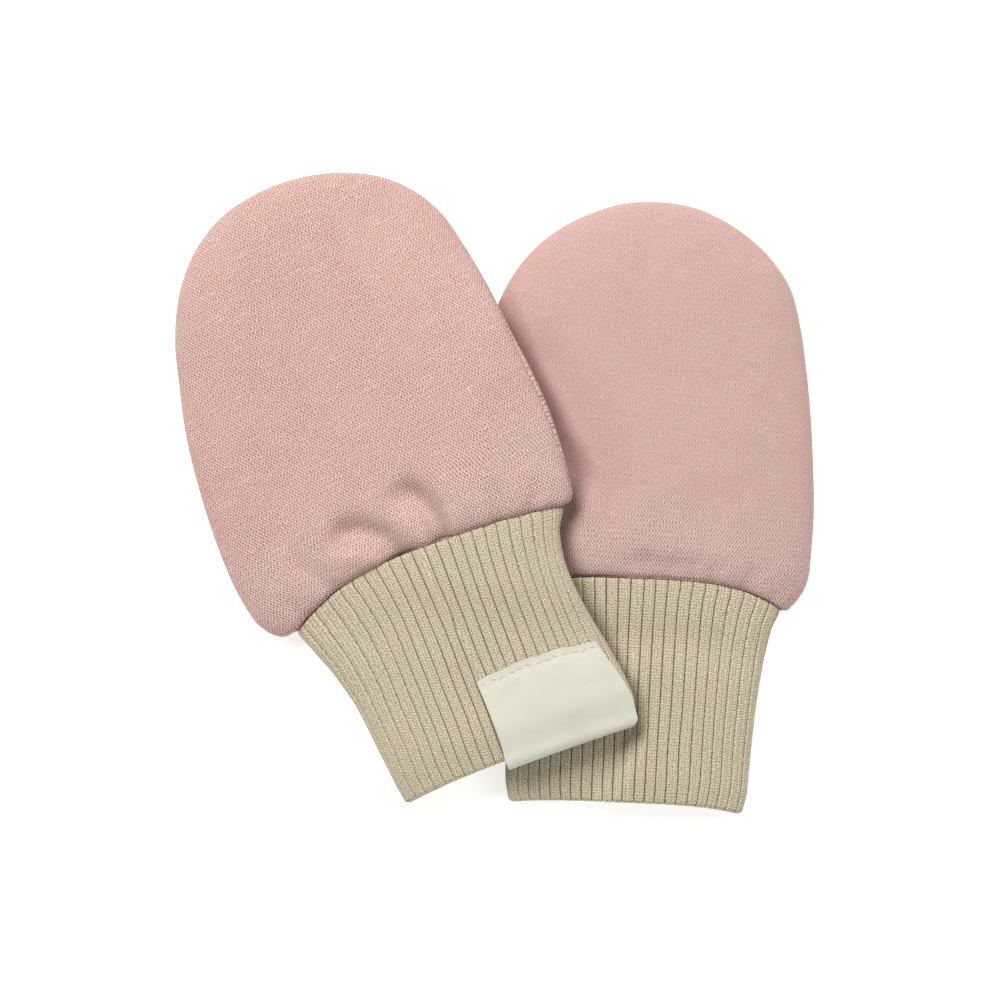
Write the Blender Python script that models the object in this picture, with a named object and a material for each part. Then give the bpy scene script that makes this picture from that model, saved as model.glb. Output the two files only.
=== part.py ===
"""A pair of baby scratch mittens, laid flat, with the left one lying partly over the right one.

Each mitten is thumbless. A top panel and an under panel of thick jersey meet at a side seam, and a
tube of rib knit, folded double at its hem, is sewn into their open end. A small bare label is folded
round the left mitten's hem. Lengths are in millimetres, and turn into metres as points are placed.

Each mitten has its own flat frame: along runs from the fingertips to the hem, across runs to the
right of it. X runs to the right of the pair, Y up it, Z up from the surface that it lies on.
"""

import math
from dataclasses import dataclass

import bmesh
import bpy

MM = 0.001
GAP = 0.3            # Between two pieces at a seam
PANEL_WALL = 2.4     # Thickness of the jersey with its brushed back
CUFF_WALL = 2.4      # Thickness of the rib knit, folded double, at a rib's crest
LABEL_WALL = 0.8     # Thickness of the folded satin tape

BODY_TOP = 15.0      # Height of the filled-out body
BODY_SEAM = 7.0      # Height of its side seam
WRIST_TOP = 12.6     # Height of the body where the cuff is sewn in
WRIST_SEAM = 6.0     # Height of its side seam there
SHOULDER = 9.0       # Length over which the body falls to its wrist
SEAM_RISE = 16.0     # Length over which the side seam rises from its wrist
SHOULDER_INSIDE = 1.6  # How much nearer the fingertips the fall starts on the inside
TOP_ROUND = 2 / 3.2  # Roundness of a section above its seam, as a superellipse's power
UNDER_ROUND = 2 / 5.0  # The same below the seam
UNDER_FLAT = 1.08    # Over 1, so that the underside is flat under most of its width

RIBS = 50            # Round one cuff
RIB_DEPTH = 0.7
RIB_FLANKS = (0.28, 0.72)  # Where a rib's crest starts and ends, as parts of its pitch
RIB_GATHER = 0.9     # How far the ribs on the faces are drawn to where they lie at the hem
ROUND_WIDTHS = 2.15  # Length round a cuff, in widths of it
HEM_ROUND = 0.7      # How far the hem's fold draws the outer face in
FOLD_LENGTH = 0.8    # Length of that rounding along the cuff

BODY_PRESS = 5.4     # How far the upper mitten pushes the lower body down
CUFF_PRESS = 4.0     # The same for the lower cuff
PRESS_EDGE = 5.0     # How far past the upper mitten's edge the dent reaches
PRESS_WIDTH = 7.0    # Width over which the dent falls
BODY_LIFT = 10.2     # How high the upper mitten lies on the lower body
CUFF_LIFT = 8.7      # The same on the lower cuff
STEP_START = 86.0    # Where the lift goes from the one to the other, along the lower mitten
STEP_LENGTH = 12.0
LIFT_START = 18.0    # How far outside the lower mitten's edge the lift starts
LIFT_WIDTH = 23.0    # Width over which it rises
TOP_LIFT_START = 46.0  # The same for the upper mitten's top face, whose cloth bridges the step
TOP_LIFT_WIDTH = 56.0
TOP_LIFT = 0.85      # How much of the lift the top face takes

TOP_RINGS = (0, 0.08, 0.2, 0.35, 0.5, 0.64, 0.76, 0.86, 0.94, 0.985, 1)
UNDER_RINGS = (0, 0.12, 0.3, 0.5, 0.68, 0.85, 0.95, 1)
CUFF_STEPS = (0, 0.09, 0.2, 0.33, 0.48, 0.63, 0.81)  # A cuff's rows from its seam, short of its hem
LABEL_STEPS = CUFF_STEPS[5:]                         # The rows that the label's legs lie on
LOBE_ROWS = 3        # Rows over which a wall turns from the wrist seam into the side
QUARTER = math.pi / 2


@dataclass(frozen=True)
class Station:
    """One row of a body: a point of its middle line, and the outline's points that belong to it."""

    spine: float
    left_along: float
    left_across: float
    right_along: float
    right_across: float
    seam_roll: float = 0.0  # Degrees that the right side seam is rolled up to the top face


@dataclass(frozen=True)
class CuffRow:
    """One row of a cuff, at a fraction of the way from the wrist seam to the hem."""

    fraction: float
    left_across: float
    right_across: float
    top: float


@dataclass(frozen=True)
class Guide:
    """One point of a line that is drawn on a mitten."""

    along: float
    across: float


@dataclass(frozen=True)
class Crease:
    """A soft trough in a top panel, or a ridge where its depth is under zero."""

    start: Guide
    end: Guide
    depth: float
    width: float


@dataclass(frozen=True)
class Mitten:
    """One mitten: where it lies, how it is turned, and its tables."""

    name: str
    tip_x: float
    tip_y: float
    turn: float          # Degrees that its hem is swung to the right
    seam_bow: float      # Power of the wrist seam's curve
    hem: float           # Length from the tip frame to the middle of the hem
    hem_left: float      # How much further the hem's left corner reaches
    hem_right: float
    body: tuple
    cuff: tuple
    creases: tuple
    is_upper: bool


LEFT_BODY = (
    Station(87.3, 95.2, -38.4, 89.4, 27.9),
    Station(86.7, 95.7, -40.5, 89.5, 29.1, 0.5),
    Station(85.7, 94.9, -42.6, 88.8, 30.3, 1),
    Station(84.0, 92.7, -44.8, 87.0, 31.1, 3),
    Station(81.0, 89.0, -46.6, 83.0, 31.6, 6),
    Station(76.0, 81.0, -48.0, 76.5, 32.1, 11),
    Station(69.0, 71.0, -48.4, 69.0, 32.4, 14.5),
    Station(60.0, 60.0, -48.0, 60.0, 31.9, 14.5),
    Station(50.0, 50.0, -47.1, 50.0, 30.6, 10),
    Station(42.0, 42.0, -45.8, 42.0, 29.7, 6),
    Station(36.0, 34.0, -43.9, 34.0, 28.6, 2),
    Station(36.0, 26.0, -41.9, 26.0, 27.1),
    Station(36.0, 18.0, -38.6, 18.0, 24.9),
    Station(36.0, 11.0, -34.0, 11.0, 20.7),
    Station(36.0, 5.5, -28.3, 5.5, 14.6),
    Station(36.0, 1.8, -21.8, 1.8, 7.1),
    Station(36.0, -0.1, -14.6, -0.1, -0.2),
    Station(36.0, -0.7, -7.4, -0.7, -7.4),
)
RIGHT_BODY = (
    Station(84.7, 90.2, -31.6, 90.2, 33.3),
    Station(84.1, 91.0, -33.1, 91.0, 34.8),
    Station(83.1, 90.3, -34.7, 90.3, 36.2),
    Station(81.4, 87.8, -36.3, 87.8, 37.6),
    Station(78.5, 83.5, -37.3, 83.5, 38.8),
    Station(74.0, 76.5, -37.9, 76.5, 39.5),
    Station(67.0, 68.0, -38.0, 68.0, 39.7),
    Station(59.0, 59.0, -37.6, 59.0, 39.2),
    Station(50.0, 50.0, -36.9, 50.0, 38.5),
    Station(42.0, 42.0, -35.9, 42.0, 37.6),
    Station(36.0, 34.0, -35.1, 34.0, 36.4),
    Station(36.0, 26.0, -33.8, 26.0, 34.9),
    Station(36.0, 18.0, -30.4, 18.0, 32.4),
    Station(36.0, 11.0, -25.2, 11.0, 27.3),
    Station(36.0, 5.5, -18.2, 5.5, 20.5),
    Station(36.0, 1.8, -10.4, 1.8, 13.3),
    Station(36.0, 0.2, -4.4, 0.2, 7.3),
    Station(36.0, -0.2, 1.5, -0.2, 1.5),
)
LEFT_CUFF = (
    CuffRow(0.0, -38.2, 27.8, 12.0),
    CuffRow(0.1, -36.6, 25.2, 12.0),
    CuffRow(0.25, -34.0, 23.9, 11.9),
    CuffRow(0.45, -31.6, 24.7, 11.8),
    CuffRow(0.7, -30.3, 26.9, 11.6),
    CuffRow(0.9, -29.3, 28.0, 11.5),
    CuffRow(1.0, -28.6, 26.9, 11.4),
)
RIGHT_CUFF = (
    CuffRow(0.0, -31.4, 33.1, 12.0),
    CuffRow(0.1, -30.2, 31.2, 12.0),
    CuffRow(0.25, -29.2, 29.7, 11.9),
    CuffRow(0.45, -28.4, 28.5, 11.8),
    CuffRow(0.7, -27.8, 27.6, 11.6),
    CuffRow(0.9, -27.4, 27.1, 11.5),
    CuffRow(1.0, -26.6, 26.2, 11.4),
)
LEFT_CREASES = (
    Crease(Guide(74.0, -21.0), Guide(84.0, -12.5), 1.5, 2.6),
    Crease(Guide(79.0, -20.5), Guide(86.0, -15.5), -0.6, 2.2),
    Crease(Guide(71.0, -5.2), Guide(84.5, -2.0), 1.3, 2.4),
)

# The upper mitten's edge, drawn on the lower mitten
PRESS_LINE = (
    Guide(10.0, -42.0), Guide(24.0, -33.0), Guide(38.0, -26.5), Guide(53.0, -18.5), Guide(62.0, -14.0),
    Guide(69.0, -15.5), Guide(78.0, -16.5), Guide(92.0, -11.0), Guide(105.0, -4.0), Guide(116.0, 1.0),
    Guide(140.0, -8.0),
)
# The lower mitten's left edge, without its lobe at the wrist
LIFT_LINE = (
    Guide(0.0, -10.0), Guide(9.0, -24.0), Guide(18.0, -31.0), Guide(29.0, -34.5), Guide(45.0, -36.5),
    Guide(70.0, -38.0), Guide(86.0, -36.5), Guide(98.0, -32.0), Guide(115.0, -28.5), Guide(137.0, -27.5),
)

LEFT = Mitten("left", -41.6, 71.48, 20.2, 2.6, 138.8, 1.5, 0.6,
              LEFT_BODY, LEFT_CUFF, LEFT_CREASES, is_upper=True)
RIGHT = Mitten("right", 34.9, 65.43, -2.2, 3.5, 135.3, 0.7, 1.5,
               RIGHT_BODY, RIGHT_CUFF, (), is_upper=False)

# The label's sides at its sewn edge and at the hem, as parts of the way round the cuff from the left
# side over the top
LABEL_LEFT = (0.230, 0.219)
LABEL_RIGHT = (0.446, 0.468)
LABEL_CLEAR = 0.4      # How far the label stands off the ribs
LABEL_INSIDE = 0.3     # How much further its inner leg stands off its wall
LABEL_COLUMNS = 15
LABEL_TURN = 6         # Rows round the hem

PINK = (0.72, 0.47, 0.42, 1.0)
BEIGE = (0.59, 0.52, 0.38, 1.0)
CREAM = (0.78, 0.76, 0.64, 1.0)


def ease(value):
    """Give a soft step: 0 below 0, 1 above 1, and smooth between."""
    value = min(max(value, 0.0), 1.0)
    return value * value * (3 - 2 * value)


def curve_value(values, position):
    """Read a smooth curve through values at a fractional place in their list."""
    last = len(values) - 1
    index = min(max(int(position), 0), last - 1)
    part = position - index
    a, b, c, d = (values[min(max(index + step, 0), last)] for step in (-1, 0, 1, 2))
    return b + 0.5 * part * (c - a + part * (2 * a - 5 * b + 4 * c - d + part * (3 * (b - c) + d - a)))


def place_in(keys, key):
    """Find the fractional place of a key in a rising list."""
    if key <= keys[0]:
        return 0.0
    for index in range(len(keys) - 1):
        if key <= keys[index + 1]:
            return index + (key - keys[index]) / (keys[index + 1] - keys[index])
    return len(keys) - 1.0


def guide_across(line, along):
    """Read how far across a drawn line is at a length along the mitten."""
    return curve_value([point.across for point in line], place_in([point.along for point in line], along))


def to_row(mitten, along, across):
    """Turn a mitten's own flat coordinates into the pair's X and Y."""
    turn = math.radians(mitten.turn)
    x = mitten.tip_x + along * math.sin(turn) + across * math.cos(turn)
    y = mitten.tip_y - along * math.cos(turn) + across * math.sin(turn)
    return x, y


def from_row(mitten, x, y):
    """Turn the pair's X and Y into a mitten's own flat coordinates."""
    turn = math.radians(mitten.turn)
    dx, dy = x - mitten.tip_x, y - mitten.tip_y
    return dx * math.sin(turn) - dy * math.cos(turn), dx * math.cos(turn) + dy * math.sin(turn)


def lift_at(x, y, rise):
    """Give the height that the upper mitten is raised by, from its underside to its top face."""
    along, across = from_row(RIGHT, x, y)
    inside = across - guide_across(LIFT_LINE, along)
    highest = BODY_LIFT + (CUFF_LIFT - BODY_LIFT) * ease((along - STEP_START) / STEP_LENGTH)
    under = ease((inside + LIFT_START) / LIFT_WIDTH)
    top = TOP_LIFT * ease((inside + TOP_LIFT_START) / TOP_LIFT_WIDTH)
    return highest * (under + (top - under) * rise)


def pressure_at(along, across):
    """Give how fully the lower mitten is pressed down, from 0 to 1."""
    return ease((guide_across(PRESS_LINE, along) + PRESS_EDGE - across) / PRESS_WIDTH)


def crease_at(mitten, along, across):
    """Give how far a mitten's creases move its top panel down."""
    drop = 0.0
    for crease in mitten.creases:
        run = (crease.end.along - crease.start.along, crease.end.across - crease.start.across)
        length = math.hypot(*run)
        offset = (along - crease.start.along, across - crease.start.across)
        part = (offset[0] * run[0] + offset[1] * run[1]) / length**2
        side = (offset[0] * run[1] - offset[1] * run[0]) / length
        beyond = max(-part, part - 1, 0) * length
        drop += crease.depth * math.exp(-(side**2 + beyond**2) / crease.width**2)
    return drop


def placed(mitten, along, across, height, rise, press):
    """Place a point of a mitten, given in its own frame, as the pair lies.

    rise is 1 on the middle of the top face and 0 at the side seam and below, and press is how far
    the lower mitten gives way there.
    """
    x, y = to_row(mitten, along, across)
    if mitten.is_upper:
        height += lift_at(x, y, rise)
    else:
        height -= press * rise * pressure_at(along, across)
    return (x * MM, y * MM, height * MM)


def reach_of(angle):
    """Give how far out from its middle a section is at an angle, from 0 to 1."""
    return max(math.cos(angle), 0.0) ** (TOP_ROUND if angle >= 0 else UNDER_ROUND)


def level_of(angle, seam, top, inset):
    """Give a section's height at an angle, and how far that is up its top face."""
    if angle >= 0:
        rise = math.sin(angle) ** TOP_ROUND
        return seam + (top - inset - seam) * rise, rise
    fall = min(1.0, UNDER_FLAT * math.sin(-angle) ** UNDER_ROUND)
    return seam - (seam - inset) * fall, 0.0


class Outline:
    """A body's outline, read as one curve from the wrist's left corner round the tip to its right."""

    def __init__(self, mitten):
        rows = mitten.body
        self.mitten = mitten
        self.last = 2 * (len(rows) - 1)
        left = [(row.spine, row.left_along, row.left_across, 0.0) for row in rows]
        right = [(row.spine, row.right_along, row.right_across, row.seam_roll) for row in rows[-2::-1]]
        self.spines, self.alongs, self.acrosses, self.rolls = zip(*(left + right))
        self.middles = [(a + b) / 2 for a, b in zip(self.acrosses, self.acrosses[::-1])]
        self.wrist = rows[0].spine

    def edge(self, column):
        """Give the outline's point at a column."""
        return curve_value(self.alongs, column), curve_value(self.acrosses, column)

    def spine(self, column):
        """Give the point of the middle line that the column runs to."""
        row = min(column, self.last - column)
        pole = self.spines[self.last // 2]
        return max(curve_value(self.spines, row), pole), curve_value(self.middles, min(row, self.pole_row()))

    def pole_row(self):
        """Give the first row whose middle point is the pole that the tip's columns share."""
        return self.spines.index(self.spines[self.last // 2])

    def bow(self, column):
        """Give the power of a column's curve from the middle line to the outline."""
        return self.mitten.seam_bow if min(column, self.last - column) < self.pole_row() else 1.0

    def inset_edge(self, column, inset):
        """Give the outline's point, moved in by a wall's thickness."""
        along, across = self.edge(column)
        spine_along, spine_across = self.spine(column)
        before = self.edge(max(column - 0.5, 0))
        after = self.edge(min(column + 0.5, self.last))
        inward = (before[1] - after[1], after[0] - before[0])
        if (spine_along - along) * inward[0] + (spine_across - across) * inward[1] < 0:
            inward = (-inward[0], -inward[1])
        wrist = (self.bow(column) * (spine_along - along), spine_across - across)
        share = max(1 - min(column, self.last - column) / LOBE_ROWS, 0.0)
        step = [share * a / math.hypot(*wrist) + (1 - share) * b / math.hypot(*inward)
                for a, b in zip(wrist, inward)]
        size = math.hypot(*step)
        return along + inset * step[0] / size, across + inset * step[1] / size

    def roll(self, column):
        """Give the angle at which the side seam lies on a column's section."""
        return math.radians(max(curve_value(self.rolls, column), 0.0))


def body_point(outline, column, angle, inset):
    """Give a body's point at a column and an angle, in the mitten's own frame.

    Returns along, across, height, rise and press.
    """
    spine_along, spine_across = outline.spine(column)
    edge_along, edge_across = outline.inset_edge(column, inset)
    start = SHOULDER_INSIDE if inset else 0.0
    part = min(max((outline.wrist - spine_along - start) / (SHOULDER - start), 0.0), 1.0)
    shoulder = math.sqrt(1 - (1 - part) ** 2)
    seam = WRIST_SEAM + (BODY_SEAM - WRIST_SEAM) * ease((outline.wrist - spine_along) / SEAM_RISE)
    top = WRIST_TOP + (BODY_TOP - WRIST_TOP) * shoulder
    reach = reach_of(angle)
    along = spine_along + (edge_along - spine_along) * reach ** outline.bow(column)
    across = spine_across + (edge_across - spine_across) * reach
    height, rise = level_of(angle, seam, top, inset)
    height -= crease_at(outline.mitten, along, across) * rise
    press = CUFF_PRESS + (BODY_PRESS - CUFF_PRESS) * shoulder
    return along, across, height, rise, press


def panel_point(outline, column, ring, inset, is_top):
    """Place a panel's point, with its edges drawn back from the seams by half a gap."""
    roll = outline.roll(column)
    angle = roll + (QUARTER - roll) * ring if is_top else roll - (QUARTER + roll) * ring
    along, across, height, rise, press = body_point(outline, column, angle, inset)
    if ring == 0:
        height += GAP / 2 if is_top else -GAP / 2
    if column in (0, outline.last):
        along -= GAP / 2
    return placed(outline.mitten, along, across, height, rise, press)


class Cuff:
    """A mitten's rib cuff, read as rings from the wrist seam to the hem."""

    def __init__(self, mitten):
        self.mitten = mitten
        self.fractions = [row.fraction for row in mitten.cuff]
        self.wrist = mitten.body[0]

    def value(self, column, fraction):
        """Read one column of the cuff's table at a fraction of its length."""
        return curve_value([getattr(row, column) for row in self.mitten.cuff],
                           place_in(self.fractions, fraction))

    def point(self, fraction, angle, inset, beyond=0.0):
        """Give the along, across, height and rise of a point at an angle round the tube.

        The angle runs from 0 at the right side over the top to 180 degrees at the left side, and
        below 0 or above 180 on the underside. beyond moves the point past the hem.
        """
        fraction = min(max(fraction, 0.0), 1.0)
        left, right = self.value("left_across", fraction), self.value("right_across", fraction)
        top = self.value("top", fraction)
        half, middle = (right - left) / 2, (right + left) / 2
        side = 1 if math.cos(angle) >= 0 else -1
        quarter = angle if side > 0 else math.pi - angle
        reach = reach_of(quarter)
        wrist_edge = self.wrist.right_along if side > 0 else self.wrist.left_along
        hem_edge = self.mitten.hem_right if side > 0 else self.mitten.hem_left
        drop = wrist_edge - self.wrist.spine + (hem_edge - wrist_edge + self.wrist.spine) * fraction
        start = self.wrist.spine + GAP / 2
        along = start + (self.mitten.hem - start) * fraction + drop * reach**self.mitten.seam_bow + beyond
        height, rise = level_of(quarter, top / 2, top, inset)
        return along, middle + side * (half - inset) * reach, height, rise

    def placed_point(self, fraction, angle, inset, beyond=0.0):
        """Place a point of the tube as the pair lies."""
        return placed(self.mitten, *self.point(fraction, angle, inset, beyond), CUFF_PRESS)

    def angles(self, fraction, parts):
        """Turn parts of the way round the tube, from its left side over its top, into angles."""
        steps = 720
        turns = [math.pi - 2 * math.pi * step / steps for step in range(steps + 1)]
        spots = [self.point(fraction, self.wrapped(turn), 0)[1:3] for turn in turns]
        lengths = [0.0]
        for before, after in zip(spots, spots[1:]):
            lengths.append(lengths[-1] + math.dist(before, after))
        return [self.wrapped(curve_value(turns, place_in(lengths, part * lengths[-1]))) for part in parts]

    def gathered(self, fraction, parts):
        """Shift ribs, given as parts of the way round, so that they run straight down the two faces.

        They bunch up at one side of the wrist seam, and stay where they are at both sides of the cuff.
        """
        left, right = self.value("left_across", fraction), self.value("right_across", fraction)
        hem_middle = (self.value("left_across", 1.0) + self.value("right_across", 1.0)) / 2
        most = RIB_GATHER * (hem_middle - (left + right) / 2) / (ROUND_WIDTHS * (right - left))
        shifted = []
        for part in parts:
            face, middle = (1, 0.25) if part <= 0.5 else (-1, 0.75)
            shifted.append(part + face * most * (1 - (4 * (part - middle)) ** 4))
        return shifted

    @staticmethod
    def wrapped(turn):
        """Bring an angle of the underside's left half above 180 degrees."""
        return turn + 2 * math.pi if turn < -QUARTER else turn


def wall(name, columns, rows, outer, inner, material):
    """Make one closed wall: a grid laid on the outer surface and extruded to the inner one.

    outer and inner give the place of the point at a column and a row. Points that fall together are
    merged, so a grid may close into a tube, meet itself along a line or end at a pole.
    """
    mesh = bmesh.new()
    bmesh.ops.create_grid(mesh, x_segments=columns - 1, y_segments=rows - 1, size=0.5)
    column_of = mesh.verts.layers.int.new("column")
    row_of = mesh.verts.layers.int.new("row")
    for vertex in mesh.verts:
        vertex[column_of] = round((vertex.co.x + 0.5) * (columns - 1))
        vertex[row_of] = round((vertex.co.y + 0.5) * (rows - 1))
        vertex.co = outer(vertex[column_of], vertex[row_of])
    bmesh.ops.remove_doubles(mesh, verts=mesh.verts, dist=MM / 1000)
    everything = mesh.verts[:] + mesh.edges[:] + mesh.faces[:]
    copied = bmesh.ops.extrude_face_region(mesh, geom=everything, use_keep_orig=True)["geom"]
    for vertex in copied:
        if isinstance(vertex, bmesh.types.BMVert):
            vertex.co = inner(vertex[column_of], vertex[row_of])
    bmesh.ops.remove_doubles(mesh, verts=mesh.verts, dist=MM / 1000)
    bmesh.ops.recalc_face_normals(mesh, faces=mesh.faces)
    data = bpy.data.meshes.new(name)
    mesh.to_mesh(data)
    mesh.free()
    data.materials.append(material)
    data.shade_smooth()
    data.set_sharp_from_angle(angle=math.radians(40))
    item = bpy.data.objects.new(name, data)
    bpy.context.scene.collection.objects.link(item)
    return item


def make_panel(mitten, is_top, material):
    """Make a body's top panel or its under panel."""
    outline = Outline(mitten)
    rings = TOP_RINGS if is_top else UNDER_RINGS

    def at(inset):
        return lambda column, row: panel_point(outline, column, rings[row], inset, is_top)

    name = f"{mitten.name}_{'top' if is_top else 'under'}_panel"
    return wall(name, outline.last + 1, len(rings), at(0), at(PANEL_WALL), material)


def rib_columns(mitten):
    """List a cuff's grid columns as pairs: a part of the way round, and the depth drawn in there.

    A rib has its groove and two crest points. Where the underside rests flat it is plain.
    """
    columns = []
    for rib in range(RIBS):
        middle = (rib + 0.5) / RIBS
        rests = 0.54 < middle < 0.96 and not (mitten.is_upper and middle < 0.78)
        columns.append((rib, rib / RIBS, 0.0 if rests else RIB_DEPTH))
        if not rests:
            columns += [(rib, (rib + flank) / RIBS, 0.0) for flank in RIB_FLANKS]
    return columns + [(0, 1.0, RIB_DEPTH)]


def make_cuff(mitten, material):
    """Make a rib cuff, with its ribs raised on a plain inside and its hem's fold rounded."""
    cuff = Cuff(mitten)
    hem_step = FOLD_LENGTH / (mitten.hem - mitten.body[0].spine)
    fractions = [*CUFF_STEPS, 1 - hem_step, 1.0]
    columns = rib_columns(mitten)
    ribs, parts, depths = zip(*columns)
    turns = [cuff.angles(fraction, cuff.gathered(fraction, parts)) for fraction in fractions]
    first = [ribs.index(rib) for rib in ribs]

    def outer(column, row):
        drawn = HEM_ROUND if row == len(fractions) - 1 else 0.0
        return cuff.placed_point(fractions[row], turns[row][column], max(depths[column], drawn))

    def inner(column, row):
        return cuff.placed_point(fractions[row], turns[row][first[column]], CUFF_WALL)

    return wall(f"{mitten.name}_cuff", len(columns), len(fractions), outer, inner, material)


def make_label(mitten, material):
    """Make the label: a tape along the cuff's top face, round the hem's fold and back inside."""
    cuff = Cuff(mitten)
    length = mitten.hem - mitten.body[0].spine
    legs = [*LABEL_STEPS, 1 - FOLD_LENGTH / length]
    turns = [math.pi * step / LABEL_TURN for step in range(LABEL_TURN + 1)]
    path = [(leg, 0.0) for leg in legs] + [(1.0, turn) for turn in turns]
    path += [(leg, math.pi) for leg in legs[::-1]]

    angles = {}
    for leg in {leg for leg, turn in path}:
        part = (leg - LABEL_STEPS[0]) / (1 - LABEL_STEPS[0])
        left, right = (sewn + (hem - sewn) * part for sewn, hem in (LABEL_LEFT, LABEL_RIGHT))
        step = (right - left) / (LABEL_COLUMNS - 1)
        angles[leg] = cuff.angles(leg, [left + step * column for column in range(LABEL_COLUMNS)])

    def at(clear):
        def point(column, row):
            leg, turn = path[row]
            radius = CUFF_WALL / 2 + clear
            inset = CUFF_WALL / 2 - radius * math.cos(turn) + LABEL_INSIDE * turn / math.pi
            return cuff.placed_point(leg, angles[leg][column], inset, radius * math.sin(turn))
        return point

    name = f"{mitten.name}_label"
    return wall(name, LABEL_COLUMNS, len(path), at(LABEL_CLEAR + LABEL_WALL), at(LABEL_CLEAR), material)


def make_material(name, colour, roughness):
    """Make a plain cloth material."""
    material = bpy.data.materials.new(name)
    material.use_nodes = True
    shader = material.node_tree.nodes["Principled BSDF"]
    shader.inputs["Base Color"].default_value = colour
    shader.inputs["Roughness"].default_value = roughness
    shader.inputs["Metallic"].default_value = 0.0
    return material


def main():
    """Build the pair."""
    for item in list(bpy.data.objects):
        bpy.data.objects.remove(item)
    for mitten in (LEFT, RIGHT):
        for side, is_top in (("top", True), ("under", False)):
            jersey = make_material(f"{mitten.name}_{side}_jersey", PINK, 0.9)
            make_panel(mitten, is_top, jersey)
        make_cuff(mitten, make_material(f"{mitten.name}_rib", BEIGE, 0.9))
    make_label(LEFT, make_material("left_label_satin", CREAM, 0.55))


main()
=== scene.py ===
"""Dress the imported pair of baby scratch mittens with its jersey, rib knit, satin label and sewing.

The mittens are shown as they were sewn. Four jersey panels meet at the side seams, a folded rib cuff
is sewn into each open end, and a bare tape is stitched over the left mitten's hem. Each piece is a
fine shell that stands on the form of its plain solid, with its folds, puckers and knit added.

Lengths are in millimetres until a point is placed. Each mitten has its own flat frame: along runs
from the fingertips to the hem, across runs to the right of it. X runs to the right of the pair, Y up
it, Z up from the surface that it lies on.
"""

from __future__ import annotations

import logging
import math
from bisect import bisect_right
from collections.abc import Sequence
from dataclasses import dataclass, field
from enum import Enum
from functools import cache, cached_property
from itertools import accumulate

import bmesh
import bpy
from mathutils import Matrix, Vector, noise


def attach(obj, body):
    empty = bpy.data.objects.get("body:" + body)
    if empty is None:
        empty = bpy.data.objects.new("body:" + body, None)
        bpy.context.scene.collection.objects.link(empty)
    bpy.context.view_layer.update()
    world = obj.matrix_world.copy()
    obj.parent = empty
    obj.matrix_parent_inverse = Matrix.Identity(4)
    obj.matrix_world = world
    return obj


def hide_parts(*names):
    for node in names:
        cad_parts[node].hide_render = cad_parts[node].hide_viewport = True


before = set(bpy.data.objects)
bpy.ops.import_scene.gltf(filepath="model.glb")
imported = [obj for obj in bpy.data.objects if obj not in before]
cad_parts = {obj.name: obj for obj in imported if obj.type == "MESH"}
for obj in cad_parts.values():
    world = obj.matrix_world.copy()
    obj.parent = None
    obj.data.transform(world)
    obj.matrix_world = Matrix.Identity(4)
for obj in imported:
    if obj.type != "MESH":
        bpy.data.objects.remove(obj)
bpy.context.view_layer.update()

LOG = logging.getLogger("mittens")
MM = 0.001
QUARTER = math.pi / 2
UV_UNIT = 100.0      # Millimetres of cloth, or ribs, to one unit of the cloth's UV map
SEAM_GAP = 0.14      # Between two pieces at a seam
SEAM_SLANT = 0.7     # How far a wrist seam slants to the hem on its way in, so that no light falls through
SAME_PLACE = MM / 1000
SHARP_ANGLE = math.radians(55)

Point = tuple[float, float, float]
Colour = tuple[float, float, float]


class Side(Enum):
    """The two panels of a mitten's body."""

    TOP = "top"
    UNDER = "under"


@dataclass(frozen=True)
class Station:
    """One row of a body: a point of its middle line, and the outline's points that belong to it."""

    spine: float
    left_along: float
    left_across: float
    right_along: float
    right_across: float
    seam_roll: float = 0.0


@dataclass(frozen=True)
class CuffRow:
    """One row of a cuff, at a fraction of the way from the wrist seam to the hem."""

    fraction: float
    left_across: float
    right_across: float
    top: float


@dataclass(frozen=True)
class Spot:
    """One point of a line that is drawn on a mitten."""

    along: float
    across: float


@dataclass(frozen=True)
class Fold:
    """A soft trough along a drawn line, or a ridge where its depth is under zero."""

    path: tuple[Spot, ...]
    depth: float
    width: float
    grows: float

    def at(self, along: float, across: float) -> float:
        """Give how far the fold moves the cloth in at a place.

        It grows to its full depth over a length from the line's first point.

        Args:
            along: Length from the fingertips.
            across: Distance to the right of the mitten's own line.

        Returns:
            The depth there, under zero on a ridge.
        """
        nearest, run, passed = 9 * self.width**2, None, 0.0
        for start, end in zip(self.path, self.path[1:]):
            length = math.hypot(end.along - start.along, end.across - start.across)
            part, square = self.reach(start, end, along, across)
            if square < nearest:
                nearest, run = square, passed + part * length
            passed += length
        if run is None:
            return 0.0
        grown = ease(run / self.grows) if self.grows else 1.0
        return self.depth * grown * math.exp(-nearest / self.width**2)

    @staticmethod
    def reach(start: Spot, end: Spot, along: float, across: float) -> tuple[float, float]:
        """Give how far along one stretch the nearest point is, and the squared distance to it."""
        run = (end.along - start.along, end.across - start.across)
        offset = (along - start.along, across - start.across)
        part = (offset[0] * run[0] + offset[1] * run[1]) / (run[0] ** 2 + run[1] ** 2)
        part = min(max(part, 0.0), 1.0)
        return part, (offset[0] - part * run[0]) ** 2 + (offset[1] - part * run[1]) ** 2


def trough(depth: float, width: float, *points: tuple[float, float], grows: float = 6.0) -> Fold:
    """Draw a fold through points that are given as along and across.

    Args:
        depth: Its depth, under zero for a ridge.
        width: Half its width, more or less.
        points: The points of its line.
        grows: The length over which it reaches its full depth.

    Returns:
        The fold.
    """
    return Fold(tuple(Spot(*point) for point in points), depth, width, grows)


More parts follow.
